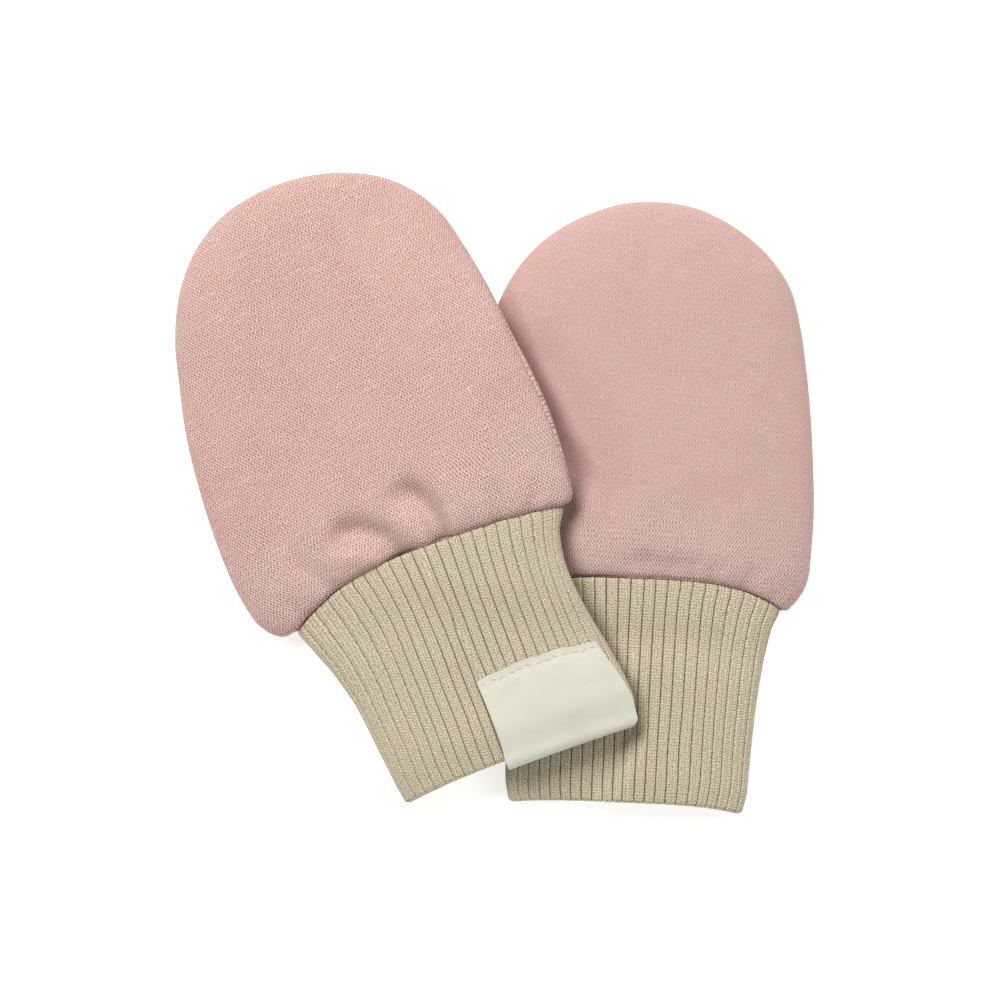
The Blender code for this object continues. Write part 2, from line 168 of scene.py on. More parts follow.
@dataclass(frozen=True)
class FoldSet:
    """All the folds of one piece of cloth, with the slow waves that lie between them."""

    folds: tuple[Fold, ...]
    wave: float = 0.18
    wave_length: float = 15.0
    seed: float = 0.0

    def at(self, along: float, across: float) -> float:
        """Give how far the cloth is moved in at a place.

        Args:
            along: Length from the fingertips.
            across: Distance to the right of the mitten's own line.

        Returns:
            The depth there.
        """
        place = Vector((along / self.wave_length, across / self.wave_length, self.seed))
        return sum(fold.at(along, across) for fold in self.folds) + self.wave * noise.noise(place)


@dataclass(frozen=True)
class Cut:
    """The flat size that one piece of cloth is cut to, in metres and square metres."""

    width: float
    length: float
    area: float | None = None


@dataclass(frozen=True)
class Mitten:
    """One mitten: where it lies, how it is turned, its tables and its folds."""

    name: str
    tip_x: float
    tip_y: float
    turn: float
    seam_bow: float
    hem: float
    hem_left: float
    hem_right: float
    body: tuple[Station, ...]
    cuff: tuple[CuffRow, ...]
    is_upper: bool
    top_folds: FoldSet
    under_folds: FoldSet
    cuff_folds: FoldSet
    knit_turn: float


LEFT_BODY = (
    Station(87.3, 95.2, -38.4, 89.4, 27.9),
    Station(86.7, 95.7, -40.5, 89.5, 29.1, 0.5),
    Station(85.7, 94.9, -42.6, 88.8, 30.3, 1),
    Station(84.0, 92.7, -44.8, 87.0, 31.1, 3),
    Station(81.0, 89.0, -46.6, 83.0, 31.6, 6),
    Station(76.0, 81.0, -48.0, 76.5, 32.1, 11),
    Station(69.0, 71.0, -48.4, 69.0, 32.4, 14.5),
    Station(60.0, 60.0, -48.0, 60.0, 31.9, 14.5),
    Station(50.0, 50.0, -47.1, 50.0, 30.6, 10),
    Station(42.0, 42.0, -45.8, 42.0, 29.7, 6),
    Station(36.0, 34.0, -43.9, 34.0, 28.6, 2),
    Station(36.0, 26.0, -41.9, 26.0, 27.1),
    Station(36.0, 18.0, -38.6, 18.0, 24.9),
    Station(36.0, 11.0, -34.0, 11.0, 20.7),
    Station(36.0, 5.5, -28.3, 5.5, 14.6),
    Station(36.0, 1.8, -21.8, 1.8, 7.1),
    Station(36.0, -0.1, -14.6, -0.1, -0.2),
    Station(36.0, -0.7, -7.4, -0.7, -7.4),
)
RIGHT_BODY = (
    Station(84.7, 90.2, -31.6, 90.2, 33.3),
    Station(84.1, 91.0, -33.1, 90.8, 34.5),
    Station(83.1, 90.3, -34.7, 89.6, 35.7),
    Station(81.4, 87.8, -36.3, 87.3, 37.4),
    Station(78.5, 83.5, -37.3, 83.4, 39.0),
    Station(74.0, 76.5, -37.9, 76.5, 39.5),
    Station(67.0, 68.0, -38.0, 68.0, 39.7),
    Station(59.0, 59.0, -37.6, 59.0, 39.2),
    Station(50.0, 50.0, -36.9, 50.0, 38.5),
    Station(42.0, 42.0, -35.9, 42.0, 37.6),
    Station(36.0, 34.0, -35.1, 34.0, 36.4),
    Station(36.0, 26.0, -33.8, 26.0, 34.9),
    Station(36.0, 18.0, -30.4, 18.0, 32.4),
    Station(36.0, 11.0, -25.2, 11.0, 27.3),
    Station(36.0, 5.5, -18.2, 5.5, 20.5),
    Station(36.0, 1.8, -10.4, 1.8, 13.3),
    Station(36.0, 0.2, -4.4, 0.2, 7.3),
    Station(36.0, -0.2, 1.5, -0.2, 1.5),
)
LEFT_CUFF = (
    CuffRow(0.0, -38.2, 27.8, 12.0),
    CuffRow(0.1, -36.6, 25.2, 12.0),
    CuffRow(0.25, -34.0, 23.9, 11.9),
    CuffRow(0.45, -31.6, 24.7, 11.8),
    CuffRow(0.7, -30.3, 26.9, 11.6),
    CuffRow(0.9, -29.3, 28.0, 11.5),
    CuffRow(1.0, -28.6, 26.9, 11.4),
)
RIGHT_CUFF = (
    CuffRow(0.0, -31.4, 33.1, 12.0),
    CuffRow(0.1, -30.2, 31.2, 12.0),
    CuffRow(0.25, -29.2, 29.7, 11.9),
    CuffRow(0.45, -28.4, 28.5, 11.8),
    CuffRow(0.7, -27.8, 27.6, 11.6),
    CuffRow(0.9, -27.4, 27.1, 11.5),
    CuffRow(1.0, -26.6, 26.2, 11.4),
)

LEFT_TOP_FOLDS = FoldSet((
    trough(3.5, 3.2, (77.0, -25.5), (78.6, -21.5), (79.4, -17.0), (82.4, -12.6), (87.0, -10.5)),
    trough(-0.6, 2.6, (80.5, -26.0), (87.0, -16.5), grows=4.0),
    trough(3.3, 2.9, (71.0, -7.0), (76.8, -2.2), (81.3, -0.4), (86.0, -0.4)),
    trough(1.0, 4.2, (73.0, -13.0), (76.5, -8.0), (79.0, -6.0)),
    trough(-0.5, 1.6, (79.0, 3.0), (85.5, 2.6), grows=3.0),
    trough(0.8, 2.1, (78.0, -35.0), (89.5, -27.0)),
    trough(0.6, 1.6, (81.0, 6.5), (88.0, 7.5)),
    trough(0.8, 2.2, (76.0, 16.0), (87.5, 13.0)),
    trough(0.9, 1.8, (80.0, 26.0), (88.0, 21.0)),
    trough(0.6, 1.7, (86.0, -41.0), (93.5, -34.5)),
), seed=3.1)
LEFT_UNDER_FOLDS = FoldSet((
    trough(0.9, 2.6, (70.0, -18.0), (78.0, -14.5), (85.0, -13.5)),
    trough(0.7, 2.2, (75.0, 4.0), (85.0, 1.5)),
    trough(0.5, 3.0, (66.0, -31.0), (79.0, -26.0)),
    trough(0.5, 1.8, (80.0, 14.0), (87.0, 16.0)),
    trough(0.4, 4.0, (38.0, 10.0), (55.0, 17.0)),
), seed=8.4)
RIGHT_TOP_FOLDS = FoldSet((
    trough(2.4, 6.5, (26.0, -30.0), (38.0, -23.0), (54.0, -14.0), (64.0, -9.5), (76.0, -9.5),
           (86.0, -9.0), grows=14.0),
    trough(0.8, 2.6, (81.8, -6.0), (81.2, 4.0), (82.0, 13.0)),
    trough(0.65, 1.7, (77.0, 1.5), (84.5, 3.5), grows=4.0),
    trough(0.5, 1.6, (78.0, 9.0), (84.5, 8.0), grows=4.0),
    trough(0.55, 1.9, (77.5, 20.0), (85.0, 17.0)),
    trough(0.6, 2.2, (78.0, 29.5), (86.0, 25.0)),
    trough(0.4, 1.6, (83.0, 35.5), (89.0, 30.5)),
), seed=5.7)
RIGHT_UNDER_FOLDS = FoldSet((
    trough(0.8, 2.4, (69.0, 12.0), (77.0, 14.5), (83.0, 13.0)),
    trough(0.65, 2.4, (72.0, -11.0), (82.0, -8.0)),
    trough(0.5, 2.2, (74.0, 27.0), (84.0, 22.5)),
    trough(0.4, 3.4, (60.0, -24.0), (74.0, -21.0)),
), seed=1.9)
LEFT_CUFF_FOLDS = FoldSet((
    trough(0.6, 3.0, (92.5, 22.5), (99.0, 19.0), (106.0, 17.0)),
    trough(0.45, 2.8, (93.0, -32.0), (103.0, -24.0)),
    trough(0.2, 6.0, (112.0, -6.0), (128.0, -2.0)),
    trough(1.8, 5.4, (140.5, -30.0), (139.0, -10.0), (139.0, 8.0), (139.8, 28.0), grows=0.0),
), wave=0.22, wave_length=19.0, seed=6.6)
RIGHT_CUFF_FOLDS = FoldSet((
    trough(0.4, 3.0, (88.0, 24.0), (97.0, 20.5)),
    trough(1.1, 4.8, (101.5, -30.0), (98.5, -9.0), (98.5, 10.0), (102.0, 30.0), grows=0.0),
    trough(0.25, 6.0, (104.0, 4.0), (124.0, 7.0)),
    trough(0.7, 4.0, (136.2, -28.0), (135.5, -8.0), (135.5, 8.0), (136.8, 28.0), grows=0.0),
), wave=0.22, wave_length=19.0, seed=2.3)

LEFT = Mitten("left", -41.6, 71.48, 20.2, 2.6, 138.8, 1.5, 0.6, LEFT_BODY, LEFT_CUFF, True,
              LEFT_TOP_FOLDS, LEFT_UNDER_FOLDS, LEFT_CUFF_FOLDS, knit_turn=7.0)
RIGHT = Mitten("right", 34.9, 65.43, -2.2, 3.5, 135.3, 0.7, 1.5, RIGHT_BODY, RIGHT_CUFF, False,
               RIGHT_TOP_FOLDS, RIGHT_UNDER_FOLDS, RIGHT_CUFF_FOLDS, knit_turn=-2.1)


def ease(value: float) -> float:
    """Give a soft step: 0 below 0, 1 above 1, and smooth between."""
    value = min(max(value, 0.0), 1.0)
    return value * value * (3 - 2 * value)


def curve_value(values: Sequence[float], position: float) -> float:
    """Read a smooth curve through values at a fractional place in their list.

    Args:
        values: The values that the curve passes through.
        position: Place in the list, whole on a value.

    Returns:
        The curve's value there.
    """
    last = len(values) - 1
    index = min(max(int(position), 0), last - 1)
    part = position - index
    a, b, c, d = (values[min(max(index + step, 0), last)] for step in (-1, 0, 1, 2))
    return b + 0.5 * part * (c - a + part * (2 * a - 5 * b + 4 * c - d + part * (3 * (b - c) + d - a)))


def place_in(keys: Sequence[float], key: float) -> float:
    """Find the fractional place of a key in a rising list.

    Args:
        keys: The rising list.
        key: The value to place.

    Returns:
        Its place, whole on one of the keys.
    """
    if key <= keys[0]:
        return 0.0
    if key >= keys[-1]:
        return len(keys) - 1.0
    index = bisect_right(keys, key) - 1
    return index + (key - keys[index]) / (keys[index + 1] - keys[index])


def run_lengths(spots: Sequence[Sequence[float]]) -> list[float]:
    """Add up the length along a row of points, from 0 at the first of them."""
    return list(accumulate(map(math.dist, spots, spots[1:]), initial=0.0))


@dataclass(frozen=True)
class Line:
    """A smooth line drawn along a mitten."""

    spots: tuple[Spot, ...]

    @cached_property
    def alongs(self) -> list[float]:
        """List how far along the line's points are."""
        return [spot.along for spot in self.spots]

    @cached_property
    def acrosses(self) -> list[float]:
        """List how far across the line's points are."""
        return [spot.across for spot in self.spots]

    def across_at(self, along: float) -> float:
        """Read how far across the line is at a length along the mitten."""
        return curve_value(self.acrosses, place_in(self.alongs, along))


@dataclass(frozen=True)
class Lay:
    """How the pair lies: the upper mitten raised on the lower one, and the lower one pressed down."""

    body_press: float = 5.4
    cuff_press: float = 4.0
    press_edge: float = 5.0
    press_width: float = 7.0
    body_lift: float = 10.2
    cuff_lift: float = 8.7
    step_start: float = 86.0
    step_length: float = 12.0
    lift_start: float = 18.0
    lift_width: float = 23.0
    top_lift_start: float = 46.0
    top_lift_width: float = 56.0
    top_lift: float = 0.85
    upper_edge: Line = Line((
        Spot(10.0, -42.0), Spot(24.0, -33.0), Spot(38.0, -26.5), Spot(53.0, -18.5), Spot(62.0, -14.0),
        Spot(69.0, -15.5), Spot(78.0, -16.5), Spot(92.0, -11.0), Spot(105.0, -4.0), Spot(116.0, 1.0),
        Spot(140.0, -8.0),
    ))
    lower_edge: Line = Line((
        Spot(0.0, -10.0), Spot(9.0, -24.0), Spot(18.0, -31.0), Spot(29.0, -34.5), Spot(45.0, -36.5),
        Spot(70.0, -38.0), Spot(86.0, -36.5), Spot(98.0, -32.0), Spot(115.0, -28.5), Spot(137.0, -27.5),
    ))

    @staticmethod
    def to_row(mitten: Mitten, along: float, across: float) -> tuple[float, float]:
        """Turn a mitten's own flat coordinates into the pair's X and Y."""
        turn = math.radians(mitten.turn)
        x = mitten.tip_x + along * math.sin(turn) + across * math.cos(turn)
        return x, mitten.tip_y - along * math.cos(turn) + across * math.sin(turn)

    @staticmethod
    def from_row(mitten: Mitten, x: float, y: float) -> tuple[float, float]:
        """Turn the pair's X and Y into a mitten's own flat coordinates."""
        turn = math.radians(mitten.turn)
        dx, dy = x - mitten.tip_x, y - mitten.tip_y
        return dx * math.sin(turn) - dy * math.cos(turn), dx * math.cos(turn) + dy * math.sin(turn)

    def lift(self, x: float, y: float, rise: float) -> float:
        """Give the height that the upper mitten is raised by.

        Args:
            x: Place across the pair.
            y: Place up the pair.
            rise: 0 on the underside and the side seam, 1 on the middle of the top face.

        Returns:
            The height.
        """
        along, across = self.from_row(RIGHT, x, y)
        inside = across - self.lower_edge.across_at(along)
        step = ease((along - self.step_start) / self.step_length)
        highest = self.body_lift + (self.cuff_lift - self.body_lift) * step
        under = ease((inside + self.lift_start) / self.lift_width)
        top = self.top_lift * ease((inside + self.top_lift_start) / self.top_lift_width)
        return highest * (under + (top - under) * rise)

    def pressure(self, along: float, across: float) -> float:
        """Give how fully the lower mitten is pressed down, from 0 to 1."""
        return ease((self.upper_edge.across_at(along) + self.press_edge - across) / self.press_width)

    def placed(self, mitten: Mitten, along: float, across: float, height: float, rise: float,
               press: float) -> Point:
        """Place a point of a mitten as the pair lies.

        Args:
            mitten: The mitten, whose own flat frame gives along and across.
            along: Length from the fingertips.
            across: Distance to the right of the mitten's own line.
            height: Height over the mitten's own underside.
            rise: 0 at the side seam and below, 1 on the middle of the top face.
            press: How far the lower mitten gives way there.

        Returns:
            X, Y and Z in millimetres.
        """
        x, y = self.to_row(mitten, along, across)
        if mitten.is_upper:
            height += self.lift(x, y, rise)
        else:
            height -= press * rise * self.pressure(along, across)
        return x, y, height


LAY = Lay()


@dataclass(frozen=True)
class Round:
    """A flat hollow section's shape, from its side seam over the top and under it."""

    top: float = 2 / 3.2
    under: float = 2 / 5.0
    flat: float = 1.08
    fine_steps: int = 3000

    def reach(self, angle: float) -> float:
        """Give how far out from its middle a section is at an angle, from 0 to 1."""
        return max(math.cos(angle), 0.0) ** (self.top if angle >= 0 else self.under)

    def level(self, angle: float, seam: float, top: float, inset: float) -> tuple[float, float, float]:
        """Give a section's height at an angle.

        Args:
            angle: Angle above the side seam, or below it.
            seam: Height of the side seam.
            top: Height of the top face.
            inset: How far inside the outer face the point lies.

        Returns:
            The height, how far it is up the top face, and how far it is down to the underside.
        """
        if angle >= 0:
            rise = math.sin(angle) ** self.top
            return seam + (top - inset - seam) * rise, rise, 0.0
        fall = min(1.0, self.flat * math.sin(-angle) ** self.under)
        return seam - (seam - inset) * fall, 0.0, fall

    def even_angles(self, count: int, half_width: float, height: float, is_top: bool) -> list[float]:
        """List angles from the side seam to the middle that lie evenly along the section.

        Args:
            count: How many angles to give.
            half_width: Half the section's width.
            height: Its height over or under the side seam.
            is_top: Whether it is the part over the seam.

        Returns:
            The angles as parts of a quarter turn, from 0 to 1.
        """
        spots = []
        for step in range(self.fine_steps + 1):
            angle = step / self.fine_steps * QUARTER
            if is_top:
                share = math.sin(angle) ** self.top
            else:
                share = min(1.0, self.flat * math.sin(angle) ** self.under)
            spots.append((half_width * self.reach(angle if is_top else -angle), height * share))
        lengths = run_lengths(spots)
        wanted = [lengths[-1] * index / (count - 1) for index in range(count)]
        return [place_in(lengths, length) / self.fine_steps for length in wanted[:-1]] + [1.0]


ROUND = Round()


@dataclass
class ClothShell:
    """A closed wall of cloth: a grid laid on its outer face and extruded to its inner one."""

    name: str
    outer: list[list[Point]]
    inner: list[list[Point]]
    pattern: list[list[tuple[float, float]]]

    def build(self) -> bpy.types.Object:
        """Make the wall as an object at the origin, with its cloth's UV map.

        Returns:
            The finished object.
        """
        columns, rows = len(self.outer), len(self.outer[0])
        mesh = bmesh.new()
        bmesh.ops.create_grid(mesh, x_segments=columns - 1, y_segments=rows - 1, size=0.5)
        column_of = mesh.verts.layers.int.new("column")
        row_of = mesh.verts.layers.int.new("row")
        for vertex in mesh.verts:
            vertex[column_of] = round((vertex.co.x + 0.5) * (columns - 1))
            vertex[row_of] = round((vertex.co.y + 0.5) * (rows - 1))
        cloth = mesh.loops.layers.uv.new("cloth")
        for face in mesh.faces:
            for loop in face.loops:
                loop[cloth].uv = self.pattern[loop.vert[column_of]][loop.vert[row_of]]
        for vertex in mesh.verts:
            vertex.co = Vector(self.outer[vertex[column_of]][vertex[row_of]]) * MM
        bmesh.ops.remove_doubles(mesh, verts=mesh.verts, dist=SAME_PLACE)
        everything = mesh.verts[:] + mesh.edges[:] + mesh.faces[:]
        copied = bmesh.ops.extrude_face_region(mesh, geom=everything, use_keep_orig=True)["geom"]
        for vertex in copied:
            if isinstance(vertex, bmesh.types.BMVert):
                vertex.co = Vector(self.inner[vertex[column_of]][vertex[row_of]]) * MM
        bmesh.ops.remove_doubles(mesh, verts=mesh.verts, dist=SAME_PLACE)
        bmesh.ops.recalc_face_normals(mesh, faces=mesh.faces)
        return finished(self.name, mesh)


def finished(name: str, mesh: bmesh.types.BMesh) -> bpy.types.Object:
    """Turn a bmesh into a smooth-shaded object at the origin.

    Args:
        name: The object's name.
        mesh: The bmesh, which is freed.

    Returns:
        The object.
    """
    data = bpy.data.meshes.new(name)
    mesh.to_mesh(data)
    mesh.free()
    data.shade_smooth()
    data.set_sharp_from_angle(angle=SHARP_ANGLE)
    item = bpy.data.objects.new(name, data)
    bpy.context.scene.collection.objects.link(item)
    return item


class Value:
    """A number that changes over a surface, with Python's own operators adding Math nodes."""

    def __init__(self, kit: ShaderKit, socket: bpy.types.NodeSocket) -> None:
        self.kit = kit
        self.socket = socket

    def __add__(self, other: Value | float) -> Value:
        """Add."""
        return self.kit.maths("ADD", self, other)

    __radd__ = __add__

    def __sub__(self, other: Value | float) -> Value:
        """Take away."""
        return self.kit.maths("SUBTRACT", self, other)

    def __rsub__(self, other: Value | float) -> Value:
        """Take this away from a number."""
        return self.kit.maths("SUBTRACT", other, self)

    def __mul__(self, other: Value | float) -> Value:
        """Multiply."""
        return self.kit.maths("MULTIPLY", self, other)

    __rmul__ = __mul__

    def __truediv__(self, other: Value | float) -> Value:
        """Divide."""
        return self.kit.maths("DIVIDE", self, other)

    def __abs__(self) -> Value:
        """Drop the sign."""
        return self.kit.maths("ABSOLUTE", self)

    def wave(self) -> Value:
        """Give the cosine of this many whole turns."""
        return self.kit.maths("COSINE", self * (2 * math.pi))

    def fraction(self) -> Value:
        """Give the part after the whole number."""
        return self.kit.maths("FRACT", self)

    def between(self, low: float, high: float) -> Value:
        """Give a soft step that is 0 at low and 1 at high."""
        node = self.kit.node("ShaderNodeMapRange", {"interpolation_type": "SMOOTHSTEP"},
                             {"Value": self, "From Min": low, "From Max": high})
        return Value(self.kit, node.outputs["Result"])


class ShaderKit:
    """One material, and the means to add nodes to it."""

    def __init__(self, name: str) -> None:
        """Make a material that holds one Principled shader.

        Args:
            name: The material's name.
        """
        self.material = bpy.data.materials.new(name)
        self.material.use_nodes = True
        self.tree = self.material.node_tree
        self.shader = self.tree.nodes["Principled BSDF"]

    def node(self, kind: str, settings: dict[str, object], inputs: dict[str | int, object]) -> bpy.types.Node:
        """Add a node.

        Args:
            kind: The node's type.
            settings: Its settings, which are set first.
            inputs: A value, a Value or a socket for each of the sockets that is used.

        Returns:
            The node.
        """
        node = self.tree.nodes.new(kind)
        for name, value in settings.items():
            setattr(node, name, value)
        for name, value in inputs.items():
            self.feed(node.inputs[name], value)
        return node

    def feed(self, socket: bpy.types.NodeSocket, value: object) -> None:
        """Link a socket to a Value or a socket, or set it to a plain value.

        Args:
            socket: The socket to feed.
            value: What it gets.
        """
        if isinstance(value, Value):
            value = value.socket
        if isinstance(value, bpy.types.NodeSocket):
            self.tree.links.new(value, socket)
        else:
            socket.default_value = value

    def maths(self, operation: str, *values: Value | float) -> Value:
        """Add a Math node.

        Args:
            operation: Its operation.
            values: Its values, in order.

        Returns:
            Its result.
        """
        node = self.node("ShaderNodeMath", {"operation": operation}, dict(enumerate(values)))
        return Value(self, node.outputs["Value"])

    def cloth(self) -> tuple[Value, Value]:
        """Read the two directions of the piece's own cloth, in millimetres or ribs."""
        place = self.node("ShaderNodeUVMap", {"uv_map": "cloth"}, {})
        parts = self.node("ShaderNodeSeparateXYZ", {}, {"Vector": place.outputs["UV"]})
        return (Value(self, parts.outputs["X"]) * UV_UNIT, Value(self, parts.outputs["Y"]) * UV_UNIT)

    def flat_place(self) -> tuple[Value, Value]:
        """Read X and Y of the point on the object, in metres."""
        place = self.node("ShaderNodeTexCoord", {}, {})
        parts = self.node("ShaderNodeSeparateXYZ", {}, {"Vector": place.outputs["Object"]})
        return Value(self, parts.outputs["X"]), Value(self, parts.outputs["Y"])

    def cloud(self, across: Value | float, along: Value | float, detail: float = 2.0,
              roughness: float = 0.5) -> Value:
        """Add soft noise over two directions, about 0.5 on average.

        Args:
            across: The first direction, in the noise's own size.
            along: The second direction.
            detail: How many finer layers it has.
            roughness: How strong the finer layers are.

        Returns:
            The noise.
        """
        place = self.node("ShaderNodeCombineXYZ", {}, {"X": across, "Y": along})
        node = self.node("ShaderNodeTexNoise", {"noise_dimensions": "2D"},
                         {"Vector": place.outputs["Vector"], "Scale": 1.0, "Detail": detail,
                          "Roughness": roughness})
        return Value(self, node.outputs["Fac"])

    def blend(self, share: Value | float, first: object, second: object) -> bpy.types.NodeSocket:
        """Mix two colours.

        Args:
            share: How much of the second colour there is.
            first: A colour or a colour socket.
            second: The other one.

        Returns:
            The mixed colour's socket.
        """
        node = self.node("ShaderNodeMix", {"data_type": "RGBA"}, {"Factor": share})
        sockets = [s for s in node.inputs if s.type == "RGBA"]
        for socket, colour in zip(sockets, (first, second)):
            self.feed(socket, colour if isinstance(colour, bpy.types.NodeSocket) else (*colour, 1.0))
        return next(s for s in node.outputs if s.type == "RGBA")

    def finish(self, colour: object, height: Value, depth: float, roughness: Value | float,
               plain: dict[str, object]) -> bpy.types.Material:
        """Dress the shader.

        Args:
            colour: The base colour's socket.
            height: The relief, from 0 to 1.
            depth: The relief's depth in millimetres.
            roughness: The roughness.
            plain: Settings that are the same all over.

        Returns:
            The finished material.
        """
        bump = self.node("ShaderNodeBump", {}, {"Height": height, "Distance": depth * MM, "Strength": 1.0})
        self.feed(self.shader.inputs["Base Color"], colour)
        self.feed(self.shader.inputs["Normal"], bump.outputs["Normal"])
        self.feed(self.shader.inputs["Roughness"], roughness)
        for name, value in plain.items():
            self.feed(self.shader.inputs[name], value)
        return self.material


@dataclass(frozen=True)
class JerseyFinish:
    """Matt pink double jersey: fine wales with small staggered holes, faintly mottled; painted shade darkens
    the holes and painted highlights lighten the loops.
    """

    yarn: Colour = (0.595, 0.391, 0.350)
    # The paler tone of painted highlights on the loops, and of the yarn's real flecks and slubs.
    pale: Colour = (0.790, 0.590, 0.535)
    warm: Colour = (0.610, 0.350, 0.314)
    # Painted shade: the colour that darkens the knit's holes, where shade falls between the loops.
    hole_shade: Colour = (0.245, 0.112, 0.096)
    wale: float = 0.776
    course: float = 1.08
    clear_at_tip: float = 1.0
    clear_at_wrist: float = 1.08
    near_wrist: tuple[float, float] = (56.0, 84.0)
    # Painted light near the wrist seam: where it fades in, and how strongly it lightens the cloth to lift the
    # shade on the sloping shoulder.
    painted_light_place: tuple[float, float] = (60.0, 84.0)
    painted_light_at_wrist: float = 0.24
    slubs: float = 0.34
    uneven_size: float = 1.9
    wale_stray: float = 0.42
    course_stray: float = 0.55
    fibre_pitch: float = 2.3
    fuzz: float = 0.8
    # How strongly the painted shade darkens the holes.
    holes: float = 0.7
    relief: float = 0.20
    roughness: float = 0.95
    sheen: float = 0.07

    def make(self, name: str) -> bpy.types.Material:
        """Make the material.

        Args:
            name: The material's name.

        Returns:
            The material.
        """
        kit = ShaderKit(name)
        across, along = kit.cloth()
        uneven = kit.cloud(across / self.uneven_size, along / self.uneven_size, 3.0, 0.6) - 0.5
        wales = ((across + uneven * self.wale_stray) / self.wale).wave()
        courses = ((along + uneven * self.course_stray) / self.course).wave()
        loops = wales * (courses * 3 + 0.7) / 7.4 + 0.5
        fibres = kit.cloud(across * self.fibre_pitch, along * self.fibre_pitch, 2.0, 0.6)
        streaks = kit.cloud(across / 6, along / 0.55, 2.0, 0.6)
        flecks = kit.cloud(across / 1.4, along / 0.9, 2.0, 0.6)
        broad = kit.cloud(across / 9, along / 5, 3.0)
        clearer = self.clear_at_wrist - self.clear_at_tip
        clear = along.between(*self.near_wrist) * clearer + self.clear_at_tip
        clear = clear * (kit.cloud(across / 12, along / 12, 2.0).between(0.3, 0.7) * 0.14 + 0.93)
        tone = kit.blend(broad.between(0.42, 0.75) * 0.55, self.yarn, self.warm)
        # Painted highlights on the loops, with the yarn's real flecks, slubs and fuzz.
        light = loops.between(0.45, 1.0) * 0.58 * clear + flecks.between(0.5, 0.8) * 0.16
        light = light + streaks.between(0.53, 0.74) * self.slubs + (fibres - 0.5) * (clear * self.fuzz)
        # Painted light: lightens the cloth towards the wrist seam, lifting the shade on the sloping shoulder.
        light = light + along.between(*self.painted_light_place) * self.painted_light_at_wrist
        tone = kit.blend(light, tone, self.pale)
        # Painted shade darkens the holes between the loops, broken up by the fibres' fuzz.
        holes = ((1 - loops.between(0.05, 0.62)) * self.holes - (fibres - 0.5)) * clear
        colour = kit.blend(holes, tone, self.hole_shade)
        height = loops.between(0.0, 0.9) * 0.8 * clear + fibres * 0.2
        return kit.finish(colour, height, self.relief, self.roughness, {
            "Sheen Weight": self.sheen, "Sheen Roughness": 0.55, "Sheen Tint": (1.0, 0.9, 0.87, 1.0),
            "Specular IOR Level": 0.25})


@dataclass(frozen=True)
class RibFinish:
    """Matt beige two-by-two rib: each rib has two wales of small V stitches; painted shade darkens its
    grooves and painted highlights lighten its loops.
    """

    yarn: Colour = (0.515, 0.453, 0.318)
    green: Colour = (0.492, 0.458, 0.312)
    rose: Colour = (0.534, 0.444, 0.328)
    # The paler tone of painted highlights on the loops, and of the yarn's real fibre speckle.
    pale: Colour = (0.745, 0.680, 0.530)
    # Painted shade: the dark colour laid in the grooves and in the gaps between stitches.
    groove: Colour = (0.140, 0.115, 0.062)
    stitch: float = 0.68
    lean: float = 0.5
    shade: float = 0.1
    stitch_shade: float = 0.45
    gap_shade: float = 0.44
    groove_width: float = 0.06
    light_fuzz: float = 1.9
    dark_fuzz: float = 1.7
    relief: float = 0.2
    roughness: float = 0.95
    sheen: float = 0.06

    def make(self, name: str) -> bpy.types.Material:
        """Make the material.

        Args:
            name: The material's name.

        Returns:
            The material.
        """
        kit = ShaderKit(name)
        across, along = kit.cloth()
        uneven = kit.cloud(across * 1.3, along / 1.8, 2.0) - 0.5
        place = across + uneven * 0.05
        in_rib = place.fraction()
        in_wale = abs((in_rib * 2).fraction() - 0.5) * 2
        legs = 1 - abs(in_wale * 2 - 1)
        stitches = ((along + uneven * 0.5) / self.stitch - in_wale * self.lean).wave() * 0.5 + 0.5
        from_groove = 0.5 - abs(in_rib - 0.5)
        crest = from_groove.between(0.0, self.groove_width)
        loops = legs * 0.5 + stitches * 0.5
        fibres = kit.cloud(across * 6.5, along * 2.6, 2.0, 0.7)
        tint = kit.cloud(across / 4, along / 9, 3.0)
        tone = kit.blend(tint.between(0.5, 0.75) * 0.6, self.yarn, self.rose)
        tone = kit.blend(tint.between(0.5, 0.25) * 0.6, tone, self.green)
        # Painted highlights on the loops, with the yarn's real fibre speckle.
        light = loops.between(0.35, 0.95) * 0.5 + (fibres - 0.5) * self.light_fuzz
        tone = kit.blend(light, tone, self.pale)
        # Painted shade in the grooves and in the gaps between stitches, broken up by the fibres.
        dark = (1 - crest) * (stitches * self.stitch_shade + self.shade)
        dark = dark + (1 - loops.between(0.0, 0.66)) * self.gap_shade - (fibres - 0.5) * self.dark_fuzz
        colour = kit.blend(dark, tone, self.groove)
        height = crest * (loops * 0.7 + fibres * 0.3)
        return kit.finish(colour, height, self.relief, self.roughness, {
            "Sheen Weight": self.sheen, "Sheen Roughness": 0.6, "Sheen Tint": (1.0, 0.96, 0.88, 1.0),
            "Specular IOR Level": 0.25})


